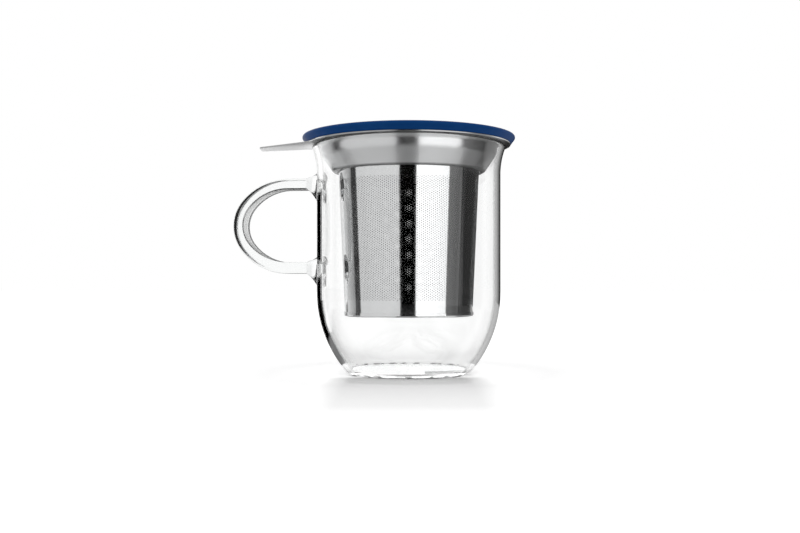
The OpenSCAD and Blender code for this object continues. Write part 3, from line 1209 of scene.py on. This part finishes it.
@dataclass
class Collar:
    """The pressed steel collar: ledge, cone, shoulder and flange, with the grip tab drawn out of it."""

    mug: GlassMug
    sheet: float = 0.6 * MM
    seat_gap: float = 0.1 * MM
    flange_radius: float = 47.2 * MM
    flange_inset: float = 3.4 * MM
    shoulder_gap: float = 0.6 * MM
    shoulder_draft: float = 0.3 * MM
    funnel: float = 12.6 * MM
    shoulder: float = 4.7 * MM
    ledge_radius: float = 35.2 * MM
    flange_round: float = 2 * MM
    shoulder_round: float = 6 * MM
    ledge_round: float = 1.8 * MM
    edge_bevel: float = 0.12 * MM
    edge_angle: float = 50
    turn: float = 8

    tab_reach: float = 68.6 * MM
    tab_tip: float = 11 * MM
    tab_root: float = 24 * MM
    tab_slope: float = 5
    tab_round: float = 1.6 * MM
    tab_root_round: float = 8 * MM
    tab_clear: float = 14
    tab_bend: float = 8 * MM
    tab_bend_inset: float = 0.3 * MM

    round_steps: int = 9
    tab_round_steps: int = 8
    half_turn_steps: int = 100
    flange_rows: int = 14
    row_step: float = 0.8 * MM
    tab_step: float = 1.2 * MM

    def __post_init__(self) -> None:
        """Works out the heights and radii that the strainer and the lid share."""
        self.flange_z = self.mug.height + self.seat_gap
        self.ledge_z = self.flange_z - self.funnel
        self.shoulder_z = self.flange_z - self.shoulder
        inner_curve = self.mug.flare_curve + self.mug.wall
        rise = self.shoulder_z - self.mug.flare_start
        glass_radius = self.mug.flare_centre[0] - math.sqrt(inner_curve**2 - rise**2)
        self.shoulder_radius = glass_radius - self.shoulder_gap
        self.tab_turn = math.asin(self.tab_root / 2 / self.flange_radius)

    def _outline(self) -> Array:
        """Half the flange's outer edge, from opposite the tab to the tab's tip, seen from above.

        It is the flange's circle, a round into the tab's straight side, a round at the tip's corner, and
        half the tip.

        Returns:
            The edge's points in the plane.
        """
        end = 180 - math.degrees(self.tab_turn) - self.tab_clear
        around = arc((0, 0), self.flange_radius, 0, end, self.half_turn_steps)
        root = np.array([-math.cos(self.tab_turn), math.sin(self.tab_turn)]) * self.flange_radius
        corners = [around[-1], root, [-self.tab_reach, self.tab_tip / 2], [-self.tab_reach, 0]]
        side = rounded_line(corners, [self.tab_root_round, self.tab_round], self.tab_round_steps)
        return np.vstack([around[:-1], spaced(side, self.tab_step)])

    def _sag(self, x: Array) -> Array:
        """How far the tab lies below the flange.

        Past its bend it falls by the distance times the slope's tangent, and over the bend by a parabola
        that is tangent to both.

        Args:
            x: The places of its points along X.

        Returns:
            The drop at each point.
        """
        past = -(x + self.flange_radius * math.cos(self.tab_turn) - self.tab_bend_inset)
        reach = self.tab_bend * math.tan(math.radians(self.tab_slope) / 2)
        fall = np.where(past > reach, past, np.clip(past + reach, 0, None) ** 2 / (4 * reach))
        return fall * math.tan(math.radians(self.tab_slope))

    def middle_surface(self, inner_radius: float) -> Array:
        """The pressing's middle: a section carried round the axis, and from there straight to its edge.

        The flange's point at the share t is the section's end + (the outer edge - that end) t, in the
        direction of the outline's own point.

        Args:
            inner_radius: The radius of the ledge's hole.

        Returns:
            Points (rows, stations, 3) halfway through the sheet, from the hole to the outer edge.
        """
        corners = [
            [inner_radius, self.ledge_z],
            [self.ledge_radius, self.ledge_z],
            [self.shoulder_radius, self.shoulder_z],
            [self.shoulder_radius + self.shoulder_draft, self.flange_z],
            [self.flange_radius - self.flange_inset, self.flange_z],
        ]
        rounds = [self.ledge_round, self.shoulder_round, self.flange_round]
        under = spaced(rounded_line(corners, rounds, self.round_steps), self.row_step)
        section = under + self.sheet / 2 * left_of(under)
        half_edge = self._outline()
        edge = np.vstack([half_edge, half_edge[-2:0:-1] * [1, -1]])
        ring = unit(np.unwrap(np.arctan2(edge[:, 1], edge[:, 0])))
        inner = section[-1, 0] * ring
        share = np.linspace(0, 1, self.flange_rows + 1)[1:, None, None]
        outer = inner + (edge - inner) * share
        height = section[-1, 1] - self._sag(outer[..., 0])
        return np.concatenate([carried(section, ring), np.concatenate([outer, height[..., None]], axis=-1)])

    def shell(self, inner_radius: float) -> Shell:
        """The sheet between two skins, half its thickness to either side of the middle surface.

        Args:
            inner_radius: The radius of the ledge's hole.

        Returns:
            The closed mesh.
        """
        middle = self.middle_surface(inner_radius)
        wrapped = np.concatenate([middle[:, -1:], middle, middle[:, :1]], axis=1)
        normal = np.cross((wrapped[:, 2:] - wrapped[:, :-2]) / 2, np.gradient(middle, axis=0))
        normal /= np.linalg.norm(normal, axis=-1, keepdims=True)
        half = self.sheet / 2
        index = np.arange(middle[..., 0].size).reshape(middle.shape[:2])
        front = Shell((middle + half * normal).reshape(-1, 3), grid_quads(index, close_columns=True))
        return plate(front, (middle - half * normal).reshape(-1, 3))

    def build(self, material: Material, inner_radius: float) -> list[Piece]:
        """Makes the collar, with a narrow bevel on its cut edges, rounded as by use.

        Args:
            material: Its steel.
            inner_radius: The radius of the ledge's hole.

        Returns:
            The one piece.
        """
        shell = self.shell(inner_radius)
        shell.points = turned(shell.points, self.turn)
        collar = to_object("collar_pressing", shell, material)
        bevel = collar.modifiers.new("edge", "BEVEL")
        bevel.width = self.edge_bevel
        bevel.segments = 2
        bevel.limit_method = "ANGLE"
        bevel.angle_limit = math.radians(self.edge_angle)
        bevel.harden_normals = True
        place(collar, "infuser", Slot.STEEL, "infuser_collar")
        return [collar]


@dataclass
class FlatPattern:
    """A sheet before it is rolled: an angle and a length up the wall for each point, and its faces."""

    angles: list[Array] = field(default_factory=list)
    lengths: list[Array] = field(default_factory=list)
    quads: list[Array] = field(default_factory=list)
    triangles: list[Array] = field(default_factory=list)
    count: int = 0
    seam_angle: float = 0.0

    def points(self, angles: Array, lengths: Array, shape: tuple[int, ...]) -> Array:
        """Adds a block of points.

        Args:
            angles: The points' angles, in a shape that broadcasts to the block's.
            lengths: The points' lengths, in a shape that broadcasts to the block's.
            shape: The block's shape.

        Returns:
            The points' indices, in the block's shape.
        """
        index = self.count + np.arange(math.prod(shape)).reshape(shape)
        self.angles.append(np.broadcast_to(angles, shape).ravel())
        self.lengths.append(np.broadcast_to(lengths, shape).ravel())
        self.count += index.size
        return index

    def arrays(self) -> tuple[Array, Array, Array, Array]:
        """Angles, lengths, four-sided faces and three-sided faces as one array each."""
        return (
            np.concatenate(self.angles),
            np.concatenate(self.lengths),
            np.vstack(self.quads),
            np.vstack(self.triangles),
        )


@dataclass
class Strainer:
    """The perforated wall, its welded seam and hem, and the perforated floor in its upturned rim."""

    collar: Collar
    top_radius: float = 32.6 * MM
    low_radius: float = 29.6 * MM
    bottom: float = 26.5 * MM
    sheet: float = 0.4 * MM
    cap_height: float = 1.8 * MM
    cap_round: float = 0.9 * MM
    hem_width: float = 1.65 * MM
    hem_round: float = 0.6 * MM
    weld_gap: float = 0.05 * MM

    hole: float = 0.43 * MM
    pitch: float = 1.05 * MM
    column_step: float = 0.87 * MM
    holes_from: float = 33.2 * MM
    holes_to: float = 87.8 * MM
    seam_width: float = 3.2 * MM
    seam_turn: float = 134
    seam_rise: float = 0.12 * MM
    seam_ridge: float = 0.55 * MM
    floor_rings: int = 26
    panels: int = 3

    band_rows: int = 5
    band_inset: float = 0.9
    band_outset: float = 0.4
    seam_columns: int = 11
    floor_border: float = 1.2
    hem_steps: int = 6
    cap_steps: int = 8
    weld_places: int = 1000

    def __post_init__(self) -> None:
        """Works out the heights that hang on the collar."""
        self.hem_z = self.collar.ledge_z + self.collar.sheet
        self.ledge_hole = self.top_radius + self.hem_round + self.weld_gap

    def radius_at(self, z: float) -> float:
        """Outside radius of the wall's cone at a height."""
        share = (z - self.bottom) / (self.hem_z - self.bottom)
        return self.low_radius + (self.top_radius - self.low_radius) * share

    def _path(self) -> Array:
        """Outside of the wall, from its foot up the cone, round the bend and out along the hem.

        Returns:
            Radius and height of its points.
        """
        foot = self.bottom + self.cap_round
        top = [[self.top_radius, self.hem_z], [self.top_radius + self.hem_width, self.hem_z]]
        return rounded_line([[self.radius_at(foot), foot], *top], [self.hem_round], self.hem_steps)

    def _pattern(self, path: Array) -> FlatPattern:
        """The wall's flat pattern, to be rolled up along its path.

        The holes stand in columns, and every second column is raised by half a pitch, so that the cells
        between them are hexagons with flat tops. Two points per column and level are shared by
        neighbouring cells. Plain bands of rings close the pattern below and above, and a plain strip
        closes it where the sheet's ends meet.

        Args:
            path: The outside of the wall's section.

        Returns:
            The pattern.
        """
        run = run_along(path)
        slope = (path[1, 1] - path[0, 1]) / (run[1] - run[0])
        middle_radius = self.radius_at((self.holes_from + self.holes_to) / 2)
        rows = round((self.holes_to - self.holes_from) / self.pitch)
        start = (self.holes_from - path[0, 1]) / slope + self.pitch
        count = int((2 * math.pi * middle_radius - self.seam_width) / self.column_step)
        count -= 1 - count % 2
        # The pattern reaches two thirds of a step past the middles of the first and the last column, to the
        # tips of their cells.
        step = (2 * math.pi - self.seam_width / middle_radius) / (count + 1 - 2 / 3)
        side = step / 3
        column = np.arange(count)
        centre = step * column
        lift = np.where(column % 2 == 1, self.pitch / 2, 0.0)
        levels = start + self.pitch * np.arange(rows)
        ends = np.array([-step + side, step * count - side])

        # The points left and right of each column's middle, the tips of the first and the last column's
        # cells, and the holes.
        pattern = FlatPattern()
        shape = (count, rows + 1)
        heights = start + self.pitch * (np.arange(rows + 1)[None] - 0.5) + lift[:, None]
        left = pattern.points((centre - side)[:, None], heights, shape)
        right = pattern.points((centre + side)[:, None], heights, shape)
        tips = pattern.points(ends[:, None], levels, (2, rows))
        hole_shift = self.hole / 2 / middle_radius * np.cos(HEXAGON)
        hole_rise = self.hole / 2 * np.sin(HEXAGON)
        hole_lengths = levels[None, :, None] + lift[:, None, None] + hole_rise
        holes = pattern.points(centre[:, None, None] + hole_shift, hole_lengths, (count, rows, 6))

        # The cells. Each shares its outer corners with the columns beside it, or with the tips, which get
        # one more entry that is never read.
        unused = np.zeros((1, 1), int)
        next_left = np.vstack([left, np.hstack([tips[1:], unused])])
        last_right = np.vstack([np.hstack([tips[:1], unused]), right])
        cell_row = np.arange(rows)[None] + (column % 2)[:, None]
        east, west = next_left[column[:, None] + 1, cell_row], last_right[column[:, None], cell_row]
        corners = [east, right[:, 1:], left[:, 1:], west, left[:, :-1], right[:, :-1]]
        pattern.quads.append(pierced(np.stack(corners, axis=-1).reshape(-1, 6), holes.reshape(-1, 6)))
        pattern.triangles += [
            np.column_stack([tips[0, :-1], left[0, 1:-1], tips[0, 1:]]),
            np.column_stack([tips[1, :-1], tips[1, 1:], right[-1, 1:-1]]),
        ]

        def woven(first: float, lefts: Array, rights: Array, last: float) -> Array:
            """The entries of one level, from one end of the sheet to the other."""
            return np.concatenate([[first], np.column_stack([lefts, rights]).ravel(), [last]])

        # The plain bands below and above the cells.
        stations = woven(ends[0], centre - side, centre + side, ends[1])
        low_edge, high_edge = (woven(tips[0, k], left[:, k], right[:, k], tips[1, k]) for k in (0, -1))
        low_runs = np.linspace(0, start - self.band_inset * self.pitch, self.band_rows)
        top_start = start + self.pitch * (rows + self.band_outset)
        high_runs = np.concatenate([np.linspace(top_start, run[1], self.band_rows), run[2:]])
        low = pattern.points(stations, low_runs[:, None], (len(low_runs), len(stations)))
        high = pattern.points(stations, high_runs[:, None], (len(high_runs), len(stations)))
        pattern.quads += [grid_quads(np.vstack([low, low_edge])), grid_quads(np.vstack([high_edge, high]))]

        # The plain strip at the seam.
        gap = ends[0] + 2 * math.pi - ends[1]
        share = np.linspace(0, 1, self.seam_columns + 2)[1:-1]
        seam_runs = np.concatenate([low_runs, levels, high_runs])
        seam = pattern.points(ends[1] + gap * share, seam_runs[:, None], (len(seam_runs), len(share)))
        before, after = (np.concatenate([low[:, k], tips[k], high[:, k]]) for k in (-1, 0))
        pattern.quads.append(grid_quads(np.column_stack([before, seam, after])))
        pattern.seam_angle = ends[1] + gap / 2
        return pattern

    def wall_panels(self) -> list[Shell]:
        """The wall, rolled from its flat pattern.

        The point at angle a and length l lies at the path's (r, z) for l, turned by a, and the inner skin
        lies one sheet further in along the path's normal. The ends of the sheet are fused in a low ridge,
        a bell curve across the seam.

        Returns:
            The wall in panels of equal width.
        """
        path = self._path()
        pattern = self._pattern(path)
        angles, lengths, quads, triangles = pattern.arrays()
        run = run_along(path)
        normal = -left_of(path)
        normal[0] = normal[1] = -left_of(path[:2])[0]
        place_and_normal = np.column_stack([path, normal]).T
        r, z, nr, nz = (np.interp(lengths, run, values) for values in place_and_normal)
        across = (angles - pattern.seam_angle) * r
        ridge = self.seam_rise * np.exp(-((across / self.seam_ridge) ** 2))
        angle = angles - pattern.seam_angle + math.radians(180 + self.seam_turn + self.collar.turn)

        def rolled(depth: float) -> Shell:
            """Rolls one skin.

            Args:
                depth: How far it lies below the outside.

            Returns:
                The skin.
            """
            reach, height = r + nr * (ridge - depth), z + nz * (ridge - depth)
            points = np.column_stack([reach * np.cos(angle), reach * np.sin(angle), height])
            return Shell(points, quads, triangles)

        outside, inside = rolled(0.0), rolled(self.sheet)
        turns = (np.mean(angles[quads[:, :2]], axis=1), angles[triangles[:, 0]])
        shares = [(turn - angles.min()) / (2 * math.pi) * self.panels for turn in turns]
        panels = []
        for k in range(self.panels):
            picks = [np.clip(share.astype(int), 0, self.panels - 1) == k for share in shares]
            panels.append(plate(outside.kept(*picks), inside.kept(*picks).points))
        return panels

    def _floor_pattern(self) -> tuple[Array, Array, Array]:
        """The floor's flat pattern: a hexagonal pattern of cells with holes, drawn out into rings.

        A point of the hexagonal pattern keeps its direction, and its distance becomes the size of the
        hexagon through it, so each ring of holes becomes a circle.

        Returns:
            Points in the plane, four-sided faces, and the points round the rim by their angle.
        """
        n = self.floor_rings
        q, s = np.meshgrid(np.arange(-n, n + 1), np.arange(-n, n + 1))
        inside = np.abs(q + s) <= n
        q, s = q[inside], s[inside]
        centre = np.column_stack([q * math.sqrt(3) / 2, s + q / 2])[:, None]
        corners = (centre + unit(HEXAGON) / math.sqrt(3)).reshape(-1, 2)
        holes = (centre + unit(HEXAGON) * self.hole / 2 / self.pitch).reshape(-1, 2)
        key = np.round(corners * self.weld_places).astype(int)
        _, first, index = np.unique(key, axis=0, return_index=True, return_inverse=True)
        flat = np.vstack([corners[first], holes])
        hole_index = len(first) + np.arange(len(holes)).reshape(-1, 6)
        quads = pierced(index.reshape(-1, 6), hole_index)
        x, y = flat[:, 0], flat[:, 1]
        slant = x / math.sqrt(3)
        hexagon = np.stack([np.abs(x) * 2 / math.sqrt(3), np.abs(y + slant), np.abs(y - slant)]).max(axis=0)
        size = np.linalg.norm(flat, axis=1)
        flat = flat * np.where(size > 0, hexagon / np.where(size > 0, size, 1), 0)[:, None] * self.pitch
        rim = np.unique(rim_edges(len(flat), index.reshape(-1, 6)))
        return flat, quads, rim[np.argsort(np.arctan2(flat[rim, 1], flat[rim, 0]))]

    def floor_shell(self) -> Shell:
        """The perforated floor: the flat pattern, a plain border and the upturned rim.

        The border and the rim are a section carried round the axis in the directions of the pattern's
        own rim, and the inner skin lies one sheet above or inside it.

        Returns:
            The closed mesh.
        """
        flat, quads, rim = self._floor_pattern()
        direction = flat[rim] / np.linalg.norm(flat[rim], axis=1, keepdims=True)
        top = self.bottom + self.cap_height
        cap_radius = self.radius_at(top) + self.weld_gap + self.sheet
        border = (self.floor_rings + self.floor_border) * self.pitch
        corners = [[border, self.bottom], [cap_radius, self.bottom], [cap_radius, top]]
        outside = rounded_line(corners, [self.cap_round], self.cap_steps)
        inside = outside + self.sheet * left_of(outside)
        inside[0] = outside[0] + [0, self.sheet]
        skins = []
        for line, z in ((outside, self.bottom), (inside, self.bottom + self.sheet)):
            disc = np.column_stack([flat, np.full(len(flat), z)])
            skins.append(np.vstack([disc, carried(line, direction).reshape(-1, 3)]))
        rings = len(flat) + np.arange(len(outside) * len(rim)).reshape(len(outside), -1)
        faces = np.vstack([quads, grid_quads(np.vstack([rim, rings]), close_columns=True)])
        return plate(Shell(skins[0], faces[:, ::-1]), skins[1])

    def build(self, material: Material) -> list[Piece]:
        """Makes the wall in panels of equal width, and the floor.

        Args:
            material: Their steel.

        Returns:
            The pieces.
        """
        pieces = []
        for k, shell in enumerate(self.wall_panels(), start=1):
            panel = to_object(f"strainer_panel_{k}", shell, material)
            place(panel, "infuser", Slot.MESH_STEEL, "strainer_wall")
            pieces.append(panel)
        floor = to_object("strainer_base", self.floor_shell(), material)
        place(floor, "infuser", Slot.MESH_STEEL, "strainer_floor")
        return [*pieces, floor]


@dataclass
class Lid:
    """The soft navy ring and the steel disc that it is moulded round."""

    collar: Collar
    radius: float = 49.2 * MM
    rim_height: float = 3.6 * MM
    wide_height: float = 2.2 * MM
    draft: float = 1.7 * MM
    side_round: float = 1.2 * MM
    top_round: float = 1 * MM
    rim_width: float = 8.2 * MM
    plate: float = 0.8 * MM
    lip_round: float = 0.5 * MM
    grip: float = 2.2 * MM
    plate_drop: float = 0.9 * MM
    field_radius: float = 33 * MM
    crown: float = 0.5 * MM
    skirt: float = 3.6 * MM
    skirt_wall: float = 1.8 * MM
    skirt_gap: float = 0.5 * MM
    gap: float = 0.05 * MM

    columns: int = 256
    ring_steps: int = 9
    ring_step: float = 0.8 * MM
    skirt_steps: int = 6
    skirt_step: float = 1 * MM
    disc_steps: int = 8
    disc_step: float = 3 * MM
    sharp: float = 50

    def __post_init__(self) -> None:
        """Works out the heights above the collar."""
        self.bottom = self.collar.flange_z + self.collar.sheet + self.collar.seat_gap
        self.top = self.bottom + self.rim_height
        self.plate_z = self.top - self.plate_drop - self.plate
        self.inner_radius = self.radius - self.rim_width
        self.plate_radius = self.inner_radius + self.grip

    def ring_profile(self) -> Array:
        """The ring's section, from its widest corner over the top, round the disc's groove and the skirt.

        Returns:
            Radius and height of each row, straight between its corners and with rounds on them.
        """
        plate_top = self.plate_z + self.plate
        groove = self.plate_radius + self.gap
        skirt_outside = self.collar.shoulder_radius - self.collar.sheet - self.skirt_gap
        skirt_inside = skirt_outside - self.skirt_wall
        skirt_foot = self.bottom - self.skirt
        upper = [
            [self.radius - self.draft, self.bottom],
            [self.radius, self.bottom + self.wide_height],
            [self.radius, self.top],
            [self.inner_radius, self.top],
            [self.inner_radius, plate_top],
        ]
        lower = [
            [skirt_inside, self.plate_z],
            [skirt_inside, skirt_foot],
            [skirt_outside, skirt_foot],
            [skirt_outside, self.bottom],
        ]
        upper_line = rounded_line(upper, [self.side_round, self.top_round, self.lip_round], self.ring_steps)
        lower_line = rounded_line(lower, [self.lip_round, self.lip_round], self.skirt_steps)
        slot_line = [[groove, plate_top], [groove, self.plate_z]]
        return np.vstack([spaced(upper_line, self.ring_step), slot_line, spaced(lower_line, self.skirt_step)])

    def disc_profile(self) -> Array:
        """The disc's section from its centre: a raised field, a step, a flat border and the cut edge.

        Returns:
            Radius and height of each row, along the underside and back one plate above it.
        """
        corners = [
            [0, self.plate_z + self.crown],
            [self.field_radius, self.plate_z + self.crown],
            [self.field_radius + 2 * self.crown, self.plate_z],
            [self.plate_radius, self.plate_z],
        ]
        under = spaced(rounded_line(corners, [self.plate, self.plate], self.disc_steps), self.disc_step)
        over = under + self.plate * left_of(under)
        over[0, 0] = 0
        return np.vstack([under, over[::-1]])

    def build(self, ring_finish: Material, disc_finish: Material) -> list[Piece]:
        """Makes the ring and the disc.

        Args:
            ring_finish: The ring's silicone.
            disc_finish: The disc's steel.

        Returns:
            Both pieces.
        """
        pieces = []
        for name, profile, finish, slot, node in (
            ("lid_ring", self.ring_profile(), ring_finish, Slot.LID_BLUE, "lid_rim"),
            ("lid_disc", self.disc_profile(), disc_finish, Slot.STEEL, "lid_plate"),
        ):
            piece = to_object(name, lathe(profile, self.columns), finish, self.sharp)
            point_outwards(piece)
            place(piece, "lid", slot, node)
            pieces.append(piece)
        return pieces


# -------- Studio --------


@dataclass(frozen=True)
class Card:
    """An upright reflector or flag that only reflections see, as a stretch of a circle round the mug.

    Its light runs evenly from light at the angle start to end_light at the angle end. Angles are in
    degrees, 0 is towards the camera and positive is to the camera's right. It stands from the height
    foot up to height. That light is what steel behind the glass shows, and only with seen_in_steel. The
    glass itself and what lies before it show glass_light, from start to end, or a bit over half the light.
    """

    name: str
    start: float
    end: float
    light: float
    end_light: float
    glass_light: tuple[float, float] | None = None
    distance: float = 0.20
    height: float = 0.30
    foot: float = 0.0005
    seen_in_steel: bool = True

    def rims(self) -> Array:
        """Radius and height of its two long sides."""
        return np.array([[self.distance, self.foot], [self.distance, self.height]])


@dataclass(frozen=True)
class Apron(Card):
    """A card that lies flat on the table round the mug's foot, from nearest to distance."""

    distance: float = 0.6
    height: float = 0.0012
    nearest: float = 0.034

    def rims(self) -> Array:
        """Radius and height of its two long sides."""
        return np.array([[self.nearest, self.height], [self.distance, self.height]])


@dataclass
class Studio:
    """Pale table, white surround, soft lamps, and cards that shape the reflections in steel and glass.

    A ray has been reflected where its glossy depth is above reflected. It has met something behind the
    glass and come out again where its transmission depth is above behind_glass, which is more than the
    two faces of one wall.
    """

    table_size: float = 6.0
    surround_light: float = 0.62
    extra_through_glass: Span = (-0.2, 0.0, 0.17, 0.03)
    cards: tuple[Card, ...] = (
        Card("flag_front", -13.5, 11, 0.0, 0.0),
        Card("panel_right", 11, 62.2, 1.55, 1.4),
        Card("panel_side", 62.2, 97.4, 0.16, 0.03, (0.2, 0.3)),
        Card("flag_right", 97.4, 134, 0.012, 0.012, (0.9, 0.5)),
        Card("shade_right", 134, 152, 0.02, 0.02, (0.42, 0.0), foot=0.022),
        Card("flag_behind", 152, 176, 0.0, 0.0, foot=0.022),
        Card("panel_behind", -180, -143, 1.0, 1.0, (1.0, 1.0)),
        Card("flag_left", -99, -86, 0.0, 0.0, (0.3, 0.3)),
        Card("shade_left", -128, -99, 0.85, 0.32, (1.0, 1.0)),
        Card("strip_left", -143, -115, 0.0, 0.0, distance=0.085, height=0.092, seen_in_steel=False),
        Card("panel_left", -86, -13.5, 0.84, 0.88, (0.45, 0.45)),
        Apron("apron_behind", -180, -150, 0.3, 0.3),
        Apron("apron_near_strip", -150, -105, 0.35, 0.35, distance=0.085),
        Apron("apron_far_strip", -145, -126, 0.3, 0.3, nearest=0.085),
        Apron("apron_left_end", -105, -84, 0.3, 0.4),
        Apron("apron_left", -84, -18, 0.74, 0.66),
        Apron("apron_front", -18, 13, 0.3, 0.28, (0.08, 0.08)),
        Apron("apron_bright", 13, 80, 0.8, 0.72),
        Apron("apron_right", 80, 180, 0.26, 0.3, (0.6, 0.45)),
    )
    card_stations: int = 25
    glass_share: float = 0.55
    behind_glass: float = 2.5
    reflected: float = 0.5
    # Each lamp's name, place and length of side.
    lamps: tuple[tuple[str, tuple[float, float, float], float], ...] = (
        ("lamp_left", (-0.7, -0.5, 0.9), 0.7),
        ("lamp_right", (0.8, -0.6, 0.8), 0.6),
    )
    lamp_light: float = 0.5
    lamp_aim: float = 0.06
    camera_turn: float = 6.0
    camera_distance: float = 0.45
    camera_height: float = 0.043
    lens: float = 43.5
    shift: tuple[float, float] = (-0.0109, 0.0169)
    clip: tuple[float, float] = (0.01, 50)

    def build(self) -> None:
        """Makes the camera, the surround, the table, the lamps and the cards."""
        bpy.context.scene.view_settings.view_transform = "Standard"
        self._camera()
        self._surround()
        self._table()
        for name, spot, size in self.lamps:
            self._lamp(name, Vector(spot), size)
        for card in self.cards:
            self._card(card)

    def _camera(self) -> None:
        """A level camera that looks along +Y from a little to the right of the mug's front."""
        data = bpy.data.cameras.new("camera")
        data.lens = self.lens
        data.shift_x, data.shift_y = self.shift
        data.clip_start, data.clip_end = self.clip
        camera = bpy.data.objects.new("camera", data)
        turn = math.radians(self.camera_turn)
        camera.location = (
            self.camera_distance * math.sin(turn),
            -self.camera_distance * math.cos(turn),
            self.camera_height,
        )
        camera.rotation_euler = (math.radians(90), 0, turn)
        bpy.context.scene.collection.objects.link(camera)
        bpy.context.scene.camera = camera

    def _surround(self) -> None:
        """A white world where it is seen, and a plain soft light where it falls on something.

        Seen through the glass it is a little brighter towards the left.
        """
        world = bpy.data.worlds.new("surround")
        bpy.context.scene.world = world
        world.use_nodes = True
        graph = Graph(world.node_tree)
        sideways = graph.parts(graph.value("TexCoord", output="Generated"))[0]
        extra = graph.light_path("Is Transmission Ray") * sideways.ramp(*self.extra_through_glass)
        strength = graph.seen_directly().ramp(0, 1, self.surround_light, 1.0) + extra
        graph.add("OutputWorld", {0: graph.value("Background", {"Color": WHITE, "Strength": strength})})

    def _table(self) -> None:
        """A square table at height 0."""
        corners = np.array([[-1, -1, 0], [1, -1, 0], [1, 1, 0], [-1, 1, 0]])
        shell = Shell(corners * self.table_size / 2, np.array([[0, 1, 2, 3]]))
        to_object("table", shell, PaleTable().material(math.radians(self.camera_turn)))

    def _lamp(self, name: str, spot: Vector, size: float) -> None:
        """A large soft square lamp that shines on the mug from above.

        Args:
            name: The lamp's name.
            spot: Its place.
            size: The length of its side. Its energy grows with its area, so that its light is the same.
        """
        data = bpy.data.lights.new(name, "AREA")
        data.shape = "SQUARE"
        data.size = size
        data.energy = self.lamp_light * math.pi * size * size
        lamp = bpy.data.objects.new(name, data)
        lamp.location = spot
        aim = Vector((0, 0, self.lamp_aim)) - spot
        lamp.rotation_euler = aim.to_track_quat("-Z", "Y").to_euler()
        lamp.visible_camera = False
        bpy.context.scene.collection.objects.link(lamp)

    def _card_light(self, graph: Graph, card: Card) -> Value:
        """The light that a reflection shows of a card, by the angle round the mug.

        Args:
            graph: The card's graph.
            card: The card.

        Returns:
            Its light in steel for rays from behind the glass, and its light in glass for all others.
        """
        forward, sideways = graph.towards(math.radians((card.start + card.end) / 2 + self.camera_turn))
        turn = graph.math("ARCTAN2", sideways, forward)
        half = math.radians(card.end - card.start) / 2
        glass = card.glass_light or (self.glass_share * card.light, self.glass_share * card.end_light)
        in_glass = turn.ramp(-half, half, *glass)
        in_steel = turn.ramp(-half, half, card.light, card.end_light)
        is_steel = graph.math("GREATER_THAN", graph.light_path("Transmission Depth"), self.behind_glass)
        return graph.value("Mix", {0: is_steel, 2: in_glass, 3: in_steel})

    def _sees_card(self, graph: Graph, card: Card) -> Value:
        """1 for reflections, and 0 for rays that only pass through the glass, which have no glossy bounce.

        Args:
            graph: The card's graph.
            card: The card.

        Returns:
            The answer, which is 0 too at the back of an upright card.
        """
        sees = graph.math("GREATER_THAN", graph.light_path("Glossy Depth"), self.reflected)
        if not card.seen_in_steel:
            depth = graph.light_path("Transmission Depth")
            sees = sees * graph.math("LESS_THAN", depth, self.behind_glass)
        if isinstance(card, Apron):
            return sees
        return sees * (1.0 - graph.value("NewGeometry", output="Backfacing"))

    def _card(self, card: Card) -> None:
        """One card: it glows for the rays that see it and is clear for all others.

        Args:
            card: The card.
        """
        material, graph = new_material(card.name)
        light = graph.value("Emission", {"Color": WHITE, "Strength": self._card_light(graph, card)})
        clear = graph.value("BsdfTransparent")
        both = graph.value("MixShader", {0: self._sees_card(graph, card), 1: clear, 2: light})
        graph.add("OutputMaterial", {0: both})
        angles = np.linspace(card.start, card.end, self.card_stations) + self.camera_turn - 90
        points = carried(card.rims(), unit(np.radians(angles))).reshape(-1, 3)
        quads = grid_quads(np.arange(len(points)).reshape(2, -1))[:, ::-1]
        board = to_object(card.name, Shell(points, quads), material)
        board.visible_camera = False
        board.visible_diffuse = False
        board.visible_shadow = False


# -------- Main --------


def main() -> None:
    """Builds the studio and the mug's sub-assemblies in order."""
    logging.basicConfig(level=logging.INFO, format="%(name)s: %(message)s")
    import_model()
    Studio().build()
    mug = GlassMug()
    collar = Collar(mug)
    strainer = Strainer(collar)
    lid = Lid(collar)
    effects = SharedEffects()
    glass = BlownGlass().material(effects)
    turned_steel = SheetSteel(
        "turned_steel",
        Grain.AROUND,
        roughness=0.3,
        roughness_depth=0.08,
        stretch=0.8,
        # Painted shade on the collar's underside at the ledge.
        painted_shade_height=collar.ledge_z,
    ).material(effects)
    turned_plate = SheetSteel(
        "turned_plate",
        Grain.AROUND,
        tone=(0.6, 0.605, 0.61),
        roughness=0.25,
        tint_depth=0.14,
        stretch=0.6,
    ).material(effects)
    rolled_steel = SheetSteel(
        "rolled_steel",
        Grain.UPWARDS,
        roughness=0.08,
        roughness_depth=0.05,
        # The inside of the basket is darkened as painted shade.
        inner_shade_share=0.1,
        inner_roughness=0.3,
    ).material(effects)
    rubber = SoftRubber().material(effects)
    made = [
        *mug.build(glass),
        *collar.build(turned_steel, strainer.ledge_hole),
        *strainer.build(rolled_steel),
        *lid.build(rubber, turned_plate),
    ]
    log.info("%d pieces, %d faces in all", len(made), sum(len(piece.data.polygons) for piece in made))


if __name__ == "__main__":
    main()
